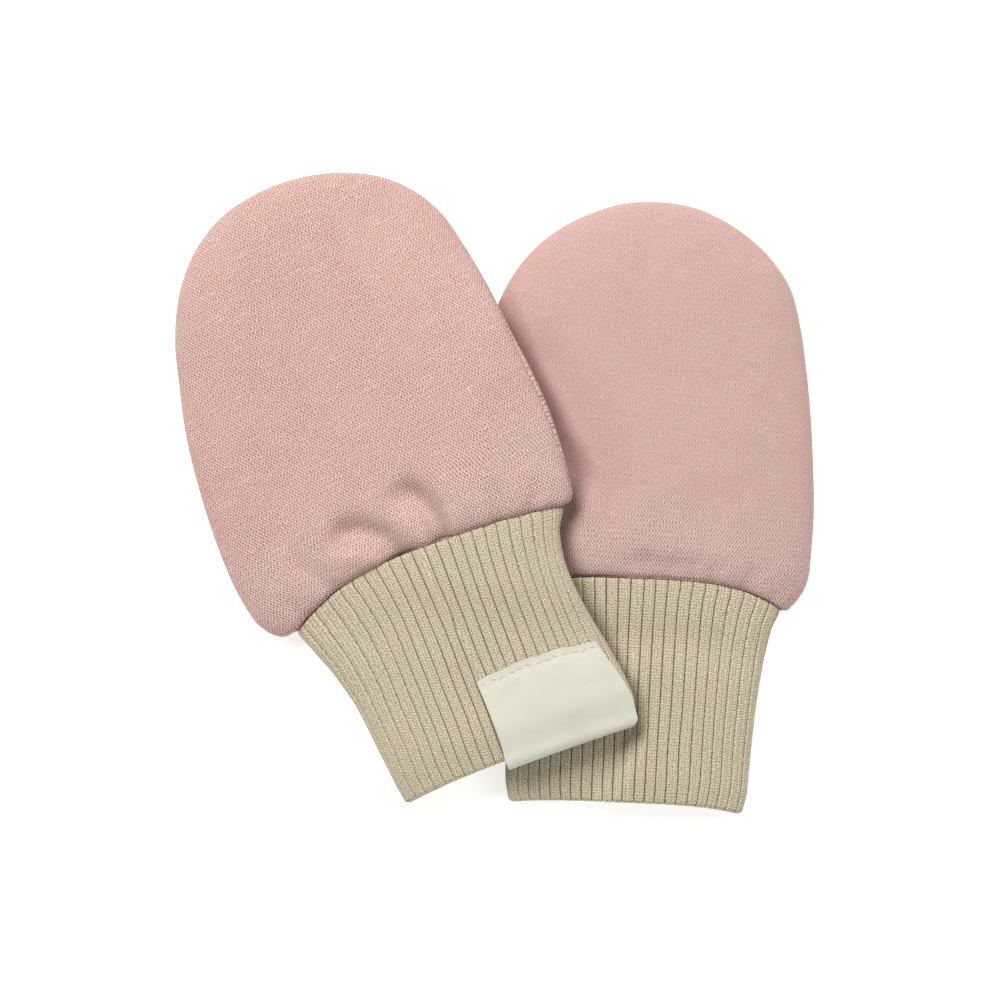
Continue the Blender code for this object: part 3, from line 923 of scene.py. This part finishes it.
@dataclass(frozen=True)
class SatinFinish:
    """Soft cream tape: a close even weave with a low gloss along its threads."""

    thread: Colour = (0.626, 0.614, 0.521)
    worn: Colour = (0.577, 0.565, 0.468)
    thread_pitch: float = 0.34
    relief: float = 0.03

    def make(self, name: str) -> bpy.types.Material:
        """Make the material.

        Args:
            name: The material's name.

        Returns:
            The material.
        """
        kit = ShaderKit(name)
        across, along = kit.cloth()
        clouds = kit.cloud(across / 7, along / 5, 3.0)
        slubs = kit.cloud(across / 2.4, along / 0.3, 2.0)
        weave = (along / self.thread_pitch).wave() * (across / self.thread_pitch).wave() * 0.5 + 0.5
        colour = kit.blend(clouds.between(0.4, 0.75) * 0.6 + slubs.between(0.5, 0.8) * 0.2,
                           self.thread, self.worn)
        height = weave * 0.6 + slubs * 0.4
        gloss = clouds * 0.12 + 0.48
        return kit.finish(colour, height, self.relief, gloss, {
            "Sheen Weight": 0.12, "Sheen Roughness": 0.4, "Specular IOR Level": 0.4})


@dataclass(frozen=True)
class ThreadFinish:
    """Twisted sewing thread, a little darker than the tape."""

    thread: Colour = (0.640, 0.605, 0.460)
    shade: Colour = (0.430, 0.390, 0.270)
    twist: float = 0.45
    slope: float = 0.8
    relief: float = 0.05
    roughness: float = 0.75

    def make(self, name: str) -> bpy.types.Material:
        """Make the material.

        Args:
            name: The material's name.

        Returns:
            The material.
        """
        kit = ShaderKit(name)
        x, y = (value / MM for value in kit.flat_place())
        turns = ((x + y * self.slope) / self.twist).wave() * 0.5 + 0.5
        colour = kit.blend(turns * 0.6, self.thread, self.shade)
        return kit.finish(colour, 1 - turns, self.relief, self.roughness, {"Sheen Weight": 0.1})


@dataclass(frozen=True)
class FloorFinish:
    """A plain pale studio floor, lit softly from within like a light table."""

    paper: Colour = (0.93, 0.93, 0.93)
    mark: Colour = (0.92, 0.92, 0.92)
    glow: float = 0.55
    grains: float = 60
    relief: float = 0.02
    roughness: float = 0.9

    def make(self, name: str) -> bpy.types.Material:
        """Make the material.

        Args:
            name: The material's name.

        Returns:
            The material.
        """
        kit = ShaderKit(name)
        x, y = kit.flat_place()
        grain = kit.cloud(x * self.grains, y * self.grains, 3.0)
        colour = kit.blend(grain, self.paper, self.mark)
        return kit.finish(colour, grain, self.relief, self.roughness, {
            "Specular IOR Level": 0.1, "Emission Color": (1.0, 1.0, 1.0, 1.0),
            "Emission Strength": self.glow})


class Outline:
    """A body's outline, read as one curve from the wrist's left corner round the tip to its right."""

    LOBE_ROWS = 3

    def __init__(self, mitten: Mitten) -> None:
        """Lay the mitten's rows out as one curve.

        Args:
            mitten: The mitten.
        """
        rows = mitten.body
        self.mitten = mitten
        self.last = 2 * (len(rows) - 1)
        left = [(row.spine, row.left_along, row.left_across, 0.0) for row in rows]
        right = [(row.spine, row.right_along, row.right_across, row.seam_roll) for row in rows[-2::-1]]
        self.spines, self.alongs, self.acrosses, self.rolls = zip(*(left + right))
        self.middles = [(a + b) / 2 for a, b in zip(self.acrosses, self.acrosses[::-1])]
        self.wrist = rows[0].spine
        self.pole = self.spines[self.last // 2]
        self.pole_row = self.spines.index(self.pole)

    @cache
    def edge(self, column: float) -> tuple[float, float]:
        """Give the outline's point at a column."""
        return curve_value(self.alongs, column), curve_value(self.acrosses, column)

    @cache
    def spine(self, column: float) -> tuple[float, float]:
        """Give the point of the middle line that the column runs to."""
        row = min(column, self.last - column)
        along = max(curve_value(self.spines, row), self.pole)
        return along, curve_value(self.middles, min(row, self.pole_row))

    @cache
    def bow(self, column: float) -> float:
        """Give the power of a column's curve from the middle line to the outline."""
        row = min(column, self.last - column)
        return self.mitten.seam_bow + (1 - self.mitten.seam_bow) * ease(row - self.pole_row + 1)

    @cache
    def inward(self, column: float) -> tuple[float, float]:
        """Give the direction from the outline into the mitten at a column."""
        along, across = self.edge(column)
        spine_along, spine_across = self.spine(column)
        before = self.edge(max(column - 0.5, 0))
        after = self.edge(min(column + 0.5, self.last))
        square = (before[1] - after[1], after[0] - before[0])
        if (spine_along - along) * square[0] + (spine_across - across) * square[1] < 0:
            square = (-square[0], -square[1])
        wrist = (self.bow(column) * (spine_along - along), spine_across - across)
        share = max(1 - min(column, self.last - column) / self.LOBE_ROWS, 0.0)
        step = [share * a / math.hypot(*wrist) + (1 - share) * b / math.hypot(*square)
                for a, b in zip(wrist, square)]
        size = math.hypot(*step)
        return step[0] / size, step[1] / size

    @cache
    def roll(self, column: float) -> float:
        """Give the angle at which the side seam lies on a column's section."""
        return math.radians(max(curve_value(self.rolls, column), 0.0))


@dataclass
class JerseyPanel:
    """One panel of a mitten's body, of thick jersey, with its seam edges turned in."""

    mitten: Mitten
    side: Side
    cut: Cut
    finish: JerseyFinish
    columns_per_row: int = 7
    rings: int = 58
    wall: float = 2.0
    half_width: float = 38.0
    body_top: float = 15.0
    body_seam: float = 7.0
    wrist_top: float = 12.6
    wrist_seam: float = 6.0
    shoulder: float = 9.0
    seam_rise: float = 16.0
    shoulder_inside: float = 1.6
    turned_in: float = 0.3
    turned_width: float = 0.8
    pucker: float = 0.06
    pucker_reach: float = 5.0
    puckers_per_row: float = 3.4
    rolled: float = 0.95
    rolled_under: float = 0.5
    roll_width: float = 3.4
    gather: float = 0.4
    gather_reach: float = 7.0
    gather_size: float = 2.7
    corner_share: float = 0.3
    outline: Outline = field(init=False)

    def __post_init__(self) -> None:
        """Read the mitten's outline."""
        self.outline = Outline(self.mitten)

    @property
    def node(self) -> str:
        """Give the name of the solid that the panel stands for."""
        return f"{self.mitten.name}_{self.side.value}_panel"

    @property
    def folds(self) -> FoldSet:
        """Give the folds of this side."""
        return self.mitten.top_folds if self.side is Side.TOP else self.mitten.under_folds

    def point(self, column: float, ring: float, inset: float) -> Point:
        """Place one point of the panel.

        Args:
            column: Place round the outline, in rows of its table.
            ring: 0 on the side seam, 1 on the middle line.
            inset: How far inside the outer face the point lies.

        Returns:
            X, Y and Z in millimetres.
        """
        outline, mitten = self.outline, self.mitten
        spine_along, spine_across = outline.spine(column)
        edge_along, edge_across = outline.edge(column)
        step = outline.inward(column)
        edge_along, edge_across = edge_along + inset * step[0], edge_across + inset * step[1]
        start = self.shoulder_inside * min(inset / self.wall, 1.0)
        part = min(max((outline.wrist - spine_along - start) / (self.shoulder - start), 0.0), 1.0)
        shoulder = math.sqrt(1 - (1 - part) ** 2)
        rise_share = ease((outline.wrist - spine_along) / self.seam_rise)
        seam = self.wrist_seam + (self.body_seam - self.wrist_seam) * rise_share
        top = self.wrist_top + (self.body_top - self.wrist_top) * shoulder
        roll = outline.roll(column)
        is_top = self.side is Side.TOP
        angle = roll + (QUARTER - roll) * ring if is_top else roll - (QUARTER + roll) * ring
        reach = ROUND.reach(angle)
        along = spine_along + (edge_along - spine_along) * reach ** outline.bow(column)
        across = spine_across + (edge_across - spine_across) * reach
        height, rise, fall = ROUND.level(angle, seam, top, inset)
        moved = self.folds.at(along, across)
        height += max(moved, 0.0) * fall - moved * rise
        if ring == 0:
            height += SEAM_GAP / 2 if is_top else -SEAM_GAP / 2
        if column in (0, outline.last):
            along -= SEAM_GAP / 2
        if inset >= self.wall:
            along += SEAM_SLANT * max(1 - (outline.wrist - spine_along) / self.roll_width, 0.0)
        press = LAY.cuff_press + (LAY.body_press - LAY.cuff_press) * shoulder
        return LAY.placed(mitten, along, across, height, rise, press)

    def seam_inset(self, column: float, from_edge: float, spot: Point, from_wrist: float) -> float:
        """Give how far the face is drawn in near its seams, where the edge turns in and puckers.

        Args:
            column: Place round the outline.
            from_edge: Distance to the side seam along the cloth.
            spot: The point itself.
            from_wrist: Distance to the wrist seam.

        Returns:
            The inset.
        """
        is_top = self.side is Side.TOP
        turn = max(1 - from_edge / self.turned_width, 0.0)
        drawn = self.turned_in * (1 - math.sqrt(1 - turn**2))
        place = Vector((column * self.puckers_per_row, self.mitten.turn, 0.0 if is_top else 4.0))
        fade = max(1 - from_edge / self.pucker_reach, 0.0) ** 2
        drawn += self.pucker * fade * (0.5 + noise.noise(place))
        roll = max(1 - from_wrist / self.roll_width, 0.0)
        rolled = self.rolled * (1 - math.sqrt(1 - roll**2)) * (1.0 if is_top else self.rolled_under)
        fade = max(1 - from_wrist / self.gather_reach, 0.0) ** 2
        place = Vector((spot[0] / self.gather_size, self.mitten.turn, 9.0))
        rolled += self.gather * fade * (0.35 + noise.noise(place))
        return max(drawn, rolled) + self.corner_share * min(drawn, rolled)

    def build(self) -> bpy.types.Object:
        """Make the panel's cloth.

        Returns:
            The object.
        """
        outline, is_top = self.outline, self.side is Side.TOP
        count = outline.last * self.columns_per_row
        columns = [index / self.columns_per_row for index in range(count + 1)]
        height = self.body_top - self.body_seam if is_top else self.body_seam
        parts = ROUND.even_angles(self.rings, self.half_width, height, is_top)
        grid = [[self.point(column, part, 0.0) for part in parts] for column in columns]
        outer, inner, pattern = [], [], []
        for column, plain in zip(columns, grid):
            wrist = grid[0] if column < outline.last / 2 else grid[-1]
            insets = [self.seam_inset(column, length, spot, math.dist(spot, seam))
                      for length, spot, seam in zip(run_lengths(plain), plain, wrist)]
            outer.append([self.point(column, part, inset) for part, inset in zip(parts, insets)])
            inner.append([self.point(column, part, self.wall) for part in parts])
            pattern.append(self.unrolled(column, plain))
        name = f"{self.mitten.name}_{self.side.value}_jersey"
        item = ClothShell(name, outer, inner, pattern).build()
        item.data.materials.append(self.finish.make(f"{name}_knit"))
        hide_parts(self.node)
        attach(item, "root")
        return item

    def unrolled(self, column: float, points: list[Point]) -> list[tuple[float, float]]:
        """Unroll one column of the panel to the flat cloth it was cut from.

        Args:
            column: Place round the outline.
            points: The column's points, from the side seam to the middle line.

        Returns:
            The UV of each point.
        """
        spine_along, spine_across = self.outline.spine(column)
        edge_along, edge_across = self.outline.edge(column)
        out = Vector((edge_across - spine_across, edge_along - spine_along)).normalized()
        turn = math.radians(self.mitten.knit_turn)
        flat, extra = [], 0.0
        for index in range(len(points) - 1, -1, -1):
            point = points[index]
            if index < len(points) - 1:
                after = points[index + 1]
                extra += math.dist(point, after) - math.dist(point[:2], after[:2])
            along, across = Lay.from_row(self.mitten, point[0], point[1])
            u, v = across + out.x * extra, along + out.y * extra
            flat.append(((u * math.cos(turn) - v * math.sin(turn)) / UV_UNIT,
                         (u * math.sin(turn) + v * math.cos(turn)) / UV_UNIT))
        return flat[::-1]


class CuffTube:
    """A mitten's cuff as a tube, read as rings from the wrist seam to the hem."""

    STEPS = 720
    GATHER = 0.9
    ROUND_WIDTHS = 2.15
    UNDER_SHARE = 0.6

    def __init__(self, mitten: Mitten) -> None:
        """Read the mitten's cuff table.

        Args:
            mitten: The mitten.
        """
        self.mitten = mitten
        self.fractions = [row.fraction for row in mitten.cuff]
        self.wrist = mitten.body[0]
        self.length = mitten.hem - self.wrist.spine

    @cache
    def value(self, column: str, fraction: float) -> float:
        """Read one column of the cuff's table at a fraction of its length."""
        return curve_value([getattr(row, column) for row in self.mitten.cuff],
                           place_in(self.fractions, fraction))

    def point(self, fraction: float, angle: float, inset: float, beyond: float = 0.0) -> tuple[float, ...]:
        """Give a point at an angle round the tube.

        Args:
            fraction: Part of the way from the wrist seam to the hem.
            angle: 0 at the right side, over the top to 180 degrees at the left side, and below 0 or
                above 180 on the underside.
            inset: How far inside the outer face the point lies.
            beyond: How far past the hem it lies.

        Returns:
            Along, across, height, rise and fall.
        """
        fraction = min(max(fraction, 0.0), 1.0)
        left, right = self.value("left_across", fraction), self.value("right_across", fraction)
        top = self.value("top", fraction)
        half, middle = (right - left) / 2, (right + left) / 2
        side = 1 if math.cos(angle) >= 0 else -1
        quarter = angle if side > 0 else math.pi - angle
        reach = ROUND.reach(quarter)
        wrist_edge = self.wrist.right_along if side > 0 else self.wrist.left_along
        hem_edge = self.mitten.hem_right if side > 0 else self.mitten.hem_left
        drop = wrist_edge - self.wrist.spine + (hem_edge - wrist_edge + self.wrist.spine) * fraction
        start = self.wrist.spine + SEAM_GAP / 2
        along = start + (self.mitten.hem - start) * fraction + drop * reach**self.mitten.seam_bow + beyond
        height, rise, fall = ROUND.level(quarter, top / 2, top, inset)
        return along, middle + side * (half - inset) * reach, height, rise, fall

    def placed_point(self, fraction: float, angle: float, inset: float, beyond: float = 0.0) -> Point:
        """Place a point of the tube as the pair lies, with the cuff's folds.

        Args:
            fraction: Part of the way from the wrist seam to the hem.
            angle: Angle round the tube.
            inset: How far inside the outer face the point lies.
            beyond: How far past the hem it lies.

        Returns:
            X, Y and Z in millimetres.
        """
        along, across, height, rise, fall = self.point(fraction, angle, inset, beyond)
        moved = self.mitten.cuff_folds.at(along, across)
        height += max(moved, 0.0) * self.UNDER_SHARE * fall - moved * rise
        return LAY.placed(self.mitten, along, across, height, rise, LAY.cuff_press)

    def angles(self, fraction: float, parts: Sequence[float]) -> list[float]:
        """Turn parts of the way round the tube, from its left side over its top, into angles.

        Args:
            fraction: Part of the way from the wrist seam to the hem.
            parts: The parts, from 0 to 1.

        Returns:
            Their angles.
        """
        turns = [math.pi - 2 * math.pi * step / self.STEPS for step in range(self.STEPS + 1)]
        spots = [self.point(fraction, self.wrapped(turn), 0)[1:3] for turn in turns]
        lengths = run_lengths(spots)
        return [self.wrapped(curve_value(turns, place_in(lengths, part * lengths[-1]))) for part in parts]

    def gathered(self, fraction: float, part: float) -> float:
        """Shift a place round the cuff so that the ribs run straight down its two faces.

        Args:
            fraction: Part of the way from the wrist seam to the hem.
            part: Part of the way round.

        Returns:
            The part that it is shifted to.
        """
        left, right = self.value("left_across", fraction), self.value("right_across", fraction)
        hem_middle = (self.value("left_across", 1.0) + self.value("right_across", 1.0)) / 2
        most = self.GATHER * (hem_middle - (left + right) / 2) / (self.ROUND_WIDTHS * (right - left))
        face, middle = (1, 0.25) if part <= 0.5 else (-1, 0.75)
        return part + face * most * (1 - (4 * (part - middle)) ** 4)

    @staticmethod
    def wrapped(turn: float) -> float:
        """Bring an angle of the underside's left half above 180 degrees."""
        return turn + 2 * math.pi if turn < -QUARTER else turn


@dataclass
class RibCuff:
    """A rib cuff: a tube of knit folded double at its hem, with raised ribs and its wrist tucked in."""

    mitten: Mitten
    cut: Cut
    finish: RibFinish
    ribs: int = 50
    wall: float = 2.4
    groove: float = 0.55
    groove_width: float = 0.07
    between_wales: float = 0.1
    between_width: float = 0.07
    evenness: float = 0.95
    unevenness: float = 0.45
    stray: float = 0.16
    inside_share: float = 0.45
    tucked: float = 0.5
    tuck_length: float = 1.3
    slant_length: float = 2.6
    steps: tuple[float, ...] = (0.0, 0.03, 0.07, 0.13, 0.26, 0.42, 0.5, 0.58, 0.74, 0.87, 0.93, 0.97)
    rows: int = 44
    hem_rows: int = 7

    def depth(self, part: float) -> float:
        """Give how deep a rib's face lies under its crest.

        Args:
            part: Place across the rib, 0 and 1 in its grooves.

        Returns:
            The depth.
        """
        from_groove = min(part, 1 - part)
        slit = self.groove * math.exp(-((from_groove / self.groove_width) ** 1.6))
        return slit + self.between_wales * math.exp(-(((part - 0.5) / self.between_width) ** 2))

    def build(self) -> bpy.types.Object:
        """Make the cuff's cloth.

        Returns:
            The object.
        """
        tube = CuffTube(self.mitten)
        radius = self.wall / 2
        hem_start = 1 - radius / tube.length
        tuck_end = self.tuck_length / tube.length
        fractions = [tuck_end * step / 4 for step in range(4)]
        fractions += [tuck_end + (hem_start - tuck_end) * step / self.rows for step in range(self.rows)]
        turns = [0.0] * len(fractions) + [QUARTER * step / self.hem_rows for step in range(self.hem_rows + 1)]
        fractions += [hem_start + (1 - hem_start) * math.sin(turn) for turn in turns[len(fractions):]]
        columns = [(rib, step) for rib in range(self.ribs) for step in self.steps] + [(self.ribs, 0.0)]
        outer = [[] for _ in columns]
        inner = [[] for _ in columns]
        pattern = [[] for _ in columns]
        for fraction, turn in zip(fractions, turns):
            place = fraction * tube.length
            parts = [tube.gathered(fraction, (rib + step) / self.ribs) for rib, step in columns]
            shifts = [self.wander(rib % self.ribs + step, place) / self.ribs for rib, step in columns]
            angles = tube.angles(fraction, [min(max(part + shift, 0.0), 1.0)
                                            for part, shift in zip(parts, shifts)])
            tuck = max(1 - place / self.tuck_length, 0.0)
            drawn = radius * (1 - math.cos(turn)) + self.tucked * (1 - math.sqrt(1 - tuck**2))
            for index, (rib, step) in enumerate(columns):
                groove = rib if step < 0.5 else rib + 1
                uneven = noise.noise(Vector((groove % self.ribs * 1.7, place / 7, 2.0)))
                depth = self.depth(step) * (self.evenness + self.unevenness * uneven)
                back = -0.5 * depth * math.sin(turn)
                face = drawn + depth * math.cos(turn)
                inside = self.wall - radius * (1 - math.cos(turn))
                outer[index].append(tube.placed_point(fraction, angles[index], face, back))
                inside -= depth * self.inside_share * math.cos(turn)
                slant = SEAM_SLANT * max(1 - place / self.slant_length, 0.0)
                inner[index].append(tube.placed_point(fraction, angles[index], inside, back + slant))
                pattern[index].append(((rib + step) / UV_UNIT, place / UV_UNIT))
        for side in (outer, inner):
            side[-1] = side[0]
        name = f"{self.mitten.name}_rib"
        item = ClothShell(f"{name}_knit", outer, inner, pattern).build()
        item.data.materials.append(self.finish.make(f"{name}_yarn"))
        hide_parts(f"{self.mitten.name}_cuff")
        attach(item, "root")
        return item

    def wander(self, place: float, along: float) -> float:
        """Give how far a rib strays sideways, in ribs."""
        away = min(place, self.ribs - place, 1.0)
        return self.stray * away * noise.noise(Vector((place / 3.3, along / 16, 7.0)))


@dataclass
class FoldedLabel:
    """A bare tape folded over the left mitten's hem and sewn through near its two ends."""

    mitten: Mitten
    cut: Cut
    finish: SatinFinish
    thread: ThreadFinish
    left: tuple[float, float] = (0.230, 0.219)
    right: tuple[float, float] = (0.446, 0.468)
    start: float = 0.63
    clear: float = 0.34
    wall: float = 0.62
    inside: float = 0.3
    cuff_wall: float = 2.4
    fold_length: float = 0.8
    columns: int = 64
    leg_rows: int = 30
    turn_rows: int = 12
    stitches: int = 13
    stitch_in: float = 1.3
    stitch_length: float = 0.95
    stitch_width: float = 0.2
    edge_bow: float = 1.0
    edge_wave: float = 0.22
    edge_reach: float = 5.0
    width: float = 30.0
    pull: float = 0.2
    pull_reach: float = 0.8
    lifted: float = 0.1
    thread_stand: float = 0.02
    thread_slant: float = 0.9

    def __post_init__(self) -> None:
        """Read the cuff that the tape lies on."""
        self.tube = CuffTube(self.mitten)
        self.seam = self.start + self.stitch_in / self.tube.length

    def share_of(self, stitch: int) -> float:
        """Give how far across the tape a stitch lies."""
        stray = 0.25 * noise.noise(Vector((stitch * 1.9, 0.4, 0.0)))
        return (stitch + 0.6 + stray) / (self.stitches + 0.2)

    def spread(self, fraction: float, share: float) -> float:
        """Give the part of the way round the cuff at which a place on the tape lies.

        Args:
            fraction: Part of the way from the wrist seam to the hem.
            share: 0 at the tape's left side, 1 at its right one.

        Returns:
            The part of the way round.
        """
        part = (fraction - self.start) / (1 - self.start)
        left, right = (sewn + (hem - sewn) * part for sewn, hem in (self.left, self.right))
        return left + (right - left) * share

    def place(self, share: float, angle: float, fraction: float, turn: float, stand: float) -> Point:
        """Place a point of the tape.

        Args:
            share: 0 at the tape's left side, 1 at its right one.
            angle: Angle round the cuff.
            fraction: Part of the way from the wrist seam to the hem.
            turn: 0 on the outer leg, 180 degrees on the inner one.
            stand: How far it stands off the cuff.

        Returns:
            X, Y and Z in millimetres.
        """
        radius = self.cuff_wall / 2 + stand
        inset = self.cuff_wall / 2 - radius * math.cos(turn) + self.inside * turn / math.pi
        fade = max(1 - (fraction - self.start) * self.tube.length / self.edge_reach, 0.0)
        bow = self.edge_bow * math.sin(math.pi * share) ** 0.8
        wave = self.edge_wave * noise.noise(Vector((share * 6.5, turn, 6.0)))
        return self.tube.placed_point(fraction, angle, inset, radius * math.sin(turn) - fade * (bow + wave))

    def dimple(self, share: float, fraction: float, turn: float) -> float:
        """Give how far the sewing pulls the tape in at a place."""
        along = (fraction - self.seam) * self.tube.length
        pulled = 0.0
        for stitch in range(self.stitches):
            away = (share - self.share_of(stitch)) * self.width
            pulled += self.pull * math.exp(-(away**2 + (along / self.pull_reach) ** 2))
        near_seam = self.lifted * noise.noise(Vector((share * 9, along / 3, turn)))
        slow = self.lifted * noise.noise(Vector((share * 2.2, along / 9, turn + 5)))
        return pulled - near_seam * math.exp(-((along / 3.0) ** 2)) - slow

    def build(self) -> bpy.types.Object:
        """Make the tape.

        Returns:
            The object.
        """
        last = 1 - self.fold_length / self.tube.length
        legs = [self.start + (last - self.start) * row / (self.leg_rows - 1) for row in range(self.leg_rows)]
        turns = [math.pi * row / self.turn_rows for row in range(self.turn_rows + 1)]
        path = [(leg, 0.0) for leg in legs] + [(1.0, turn) for turn in turns]
        path += [(leg, math.pi) for leg in legs[::-1]]
        shares = [column / (self.columns - 1) for column in range(self.columns)]
        angles = {leg: self.tube.angles(leg, [self.spread(leg, share) for share in shares])
                  for leg in {leg for leg, _ in path}}
        outer = [[] for _ in shares]
        inner = [[] for _ in shares]
        pattern = [[] for _ in shares]
        run = 0.0
        for row, (leg, turn) in enumerate(path):
            if row:
                before = path[row - 1]
                run += abs(leg - before[0]) * self.tube.length + abs(turn - before[1]) * self.cuff_wall / 2
            for column, share in enumerate(shares):
                pulled = self.dimple(share, leg, turn)
                angle = angles[leg][column]
                outer[column].append(self.place(share, angle, leg, turn, self.clear + self.wall - pulled))
                inner[column].append(self.place(share, angle, leg, turn, self.clear - min(pulled, self.pull)))
                pattern[column].append((share * self.width / UV_UNIT, run / UV_UNIT))
        item = ClothShell("left_label_tape", outer, inner, pattern).build()
        item.data.materials.append(self.finish.make("left_label_satin_weave"))
        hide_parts("left_label")
        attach(item, "root")
        return item

    def sew(self) -> bpy.types.Object:
        """Make the running stitches through both legs of the tape as one piece.

        Returns:
            The object.
        """
        mesh = bmesh.new()
        for turn in (0.0, math.pi):
            for stitch in range(self.stitches):
                share = self.share_of(stitch)
                stray = noise.noise(Vector((stitch * 2.7, turn, 1.0)))
                fraction = self.seam + 0.3 * stray / self.tube.length
                spread = self.spread(fraction, share)
                step = 0.004
                before, middle, after = self.tube.angles(fraction, [spread - step, spread, spread + step])
                stand = self.clear + self.wall - self.dimple(share, fraction, turn) + self.thread_stand
                centre = Vector(self.place(share, middle, fraction, turn, stand)) * MM
                run = Vector(self.place(share, after, fraction, turn, stand))
                run = (run - Vector(self.place(share, before, fraction, turn, stand))).normalized()
                up = Vector((0, 0, 1))
                side = up.cross(run).normalized()
                up = run.cross(side).normalized()
                run = (run + side * self.thread_slant * stray).normalized()
                side = up.cross(run).normalized()
                axes = Matrix((run, side, up)).transposed().to_4x4()
                half = self.stitch_length * (1 + 0.5 * stray)
                size = Matrix.Diagonal((half * MM, self.stitch_width * MM, self.stitch_width * 0.7 * MM, 1))
                bmesh.ops.create_uvsphere(mesh, u_segments=14, v_segments=8, radius=1.0,
                                          matrix=Matrix.Translation(centre) @ axes @ size)
        bmesh.ops.recalc_face_normals(mesh, faces=mesh.faces)
        item = finished("left_label_stitches", mesh)
        item.data.materials.append(self.thread.make("left_label_thread"))
        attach(item, "root")
        return item


@dataclass(frozen=True)
class Lamp:
    """One soft square light: where it hangs and its side in metres, its power in watts and its colour."""

    name: str
    place: Point
    size: float
    power: float
    colour: Colour

    def hang(self) -> None:
        """Hang the light so that it looks at the pair."""
        data = bpy.data.lights.new(self.name, "AREA")
        data.size, data.energy, data.color = self.size, self.power, self.colour
        item = bpy.data.objects.new(self.name, data)
        item.location = self.place
        item.rotation_euler = (-Vector(self.place)).to_track_quat("-Z", "Y").to_euler()
        bpy.context.scene.collection.objects.link(item)


@dataclass
class Studio:
    """The pale floor, the soft lights and the camera that looks straight down."""

    centre: tuple[float, float] = (1.24, -1.58)
    view_width: float = 225.0
    distance: float = 3.0
    sensor: float = 36.0
    floor_size: float = 8.0
    world: float = 0.37
    lamps: tuple[Lamp, ...] = (
        Lamp("window_light", (-0.43, 0.73, 1.2), 0.7, 20.6, (1.0, 0.985, 0.965)),
        Lamp("fill_light", (0.9, 0.0, 1.2), 1.2, 5.5, (0.97, 0.98, 1.0)),
    )

    def lay_floor(self) -> bpy.types.Object:
        """Lay the floor that the pair rests on.

        Returns:
            The floor.
        """
        mesh = bmesh.new()
        bmesh.ops.create_grid(mesh, x_segments=8, y_segments=8, size=self.floor_size / 2)
        item = finished("floor", mesh)
        item.data.materials.append(FloorFinish().make("floor_paper"))
        return item

    def light(self) -> None:
        """Hang the lights and set the soft surroundings."""
        for lamp in self.lamps:
            lamp.hang()
        world = bpy.data.worlds.new("studio")
        world.use_nodes = True
        background = world.node_tree.nodes["Background"]
        background.inputs["Color"].default_value = (1.0, 1.0, 1.0, 1.0)
        background.inputs["Strength"].default_value = self.world
        bpy.context.scene.world = world
        bpy.context.scene.view_settings.view_transform = "Standard"

    def set_camera(self) -> None:
        """Stand the camera straight over the pair."""
        data = bpy.data.cameras.new("camera")
        data.sensor_width = self.sensor
        data.lens = self.sensor * self.distance / (self.view_width * MM)
        data.clip_start, data.clip_end = 0.1, 20.0
        item = bpy.data.objects.new("camera", data)
        item.location = (self.centre[0] * MM, self.centre[1] * MM, self.distance + 0.01)
        bpy.context.scene.collection.objects.link(item)
        bpy.context.scene.camera = item


PANEL_CUTS = {"left": Cut(0.096, 0.104, 0.0080), "right": Cut(0.096, 0.100, 0.0080)}
KNITS = {
    "left": JerseyFinish(),
    # The right mitten gets more painted light near its wrist seam.
    "right": JerseyFinish(yarn=(0.550, 0.364, 0.330), pale=(0.740, 0.560, 0.513), warm=(0.557, 0.330, 0.301),
                          wale=0.73, course=1.10, clear_at_tip=0.55, clear_at_wrist=1.0, slubs=0.17,
                          painted_light_at_wrist=0.3),
}
RIBS = {"left": RibFinish(yarn=(0.527, 0.463, 0.325)), "right": RibFinish(shade=0.24)}
GROOVES = {"left": 0.4, "right": 0.55}
CUFF_CUT = Cut(0.136, 0.053)
LABEL_CUT = Cut(0.030, 0.042)


def main() -> None:
    """Build the pair, its sewing and the studio in order."""
    logging.basicConfig(level=logging.INFO, format="%(message)s")
    studio = Studio()
    studio.set_camera()
    studio.lay_floor()
    for mitten in (RIGHT, LEFT):
        for side in (Side.UNDER, Side.TOP):
            panel = JerseyPanel(mitten, side, PANEL_CUTS[mitten.name], KNITS[mitten.name])
            panel.build()
        cuff = RibCuff(mitten, CUFF_CUT, RIBS[mitten.name], groove=GROOVES[mitten.name])
        rib = cuff.build()
        LOG.info("sewed %s", rib.name)
    label = FoldedLabel(LEFT, LABEL_CUT, SatinFinish(), ThreadFinish())
    tape, thread = label.build(), label.sew()
    LOG.info("sewed %s and %s", tape.name, thread.name)
    studio.light()


if __name__ == "__main__":
    main()
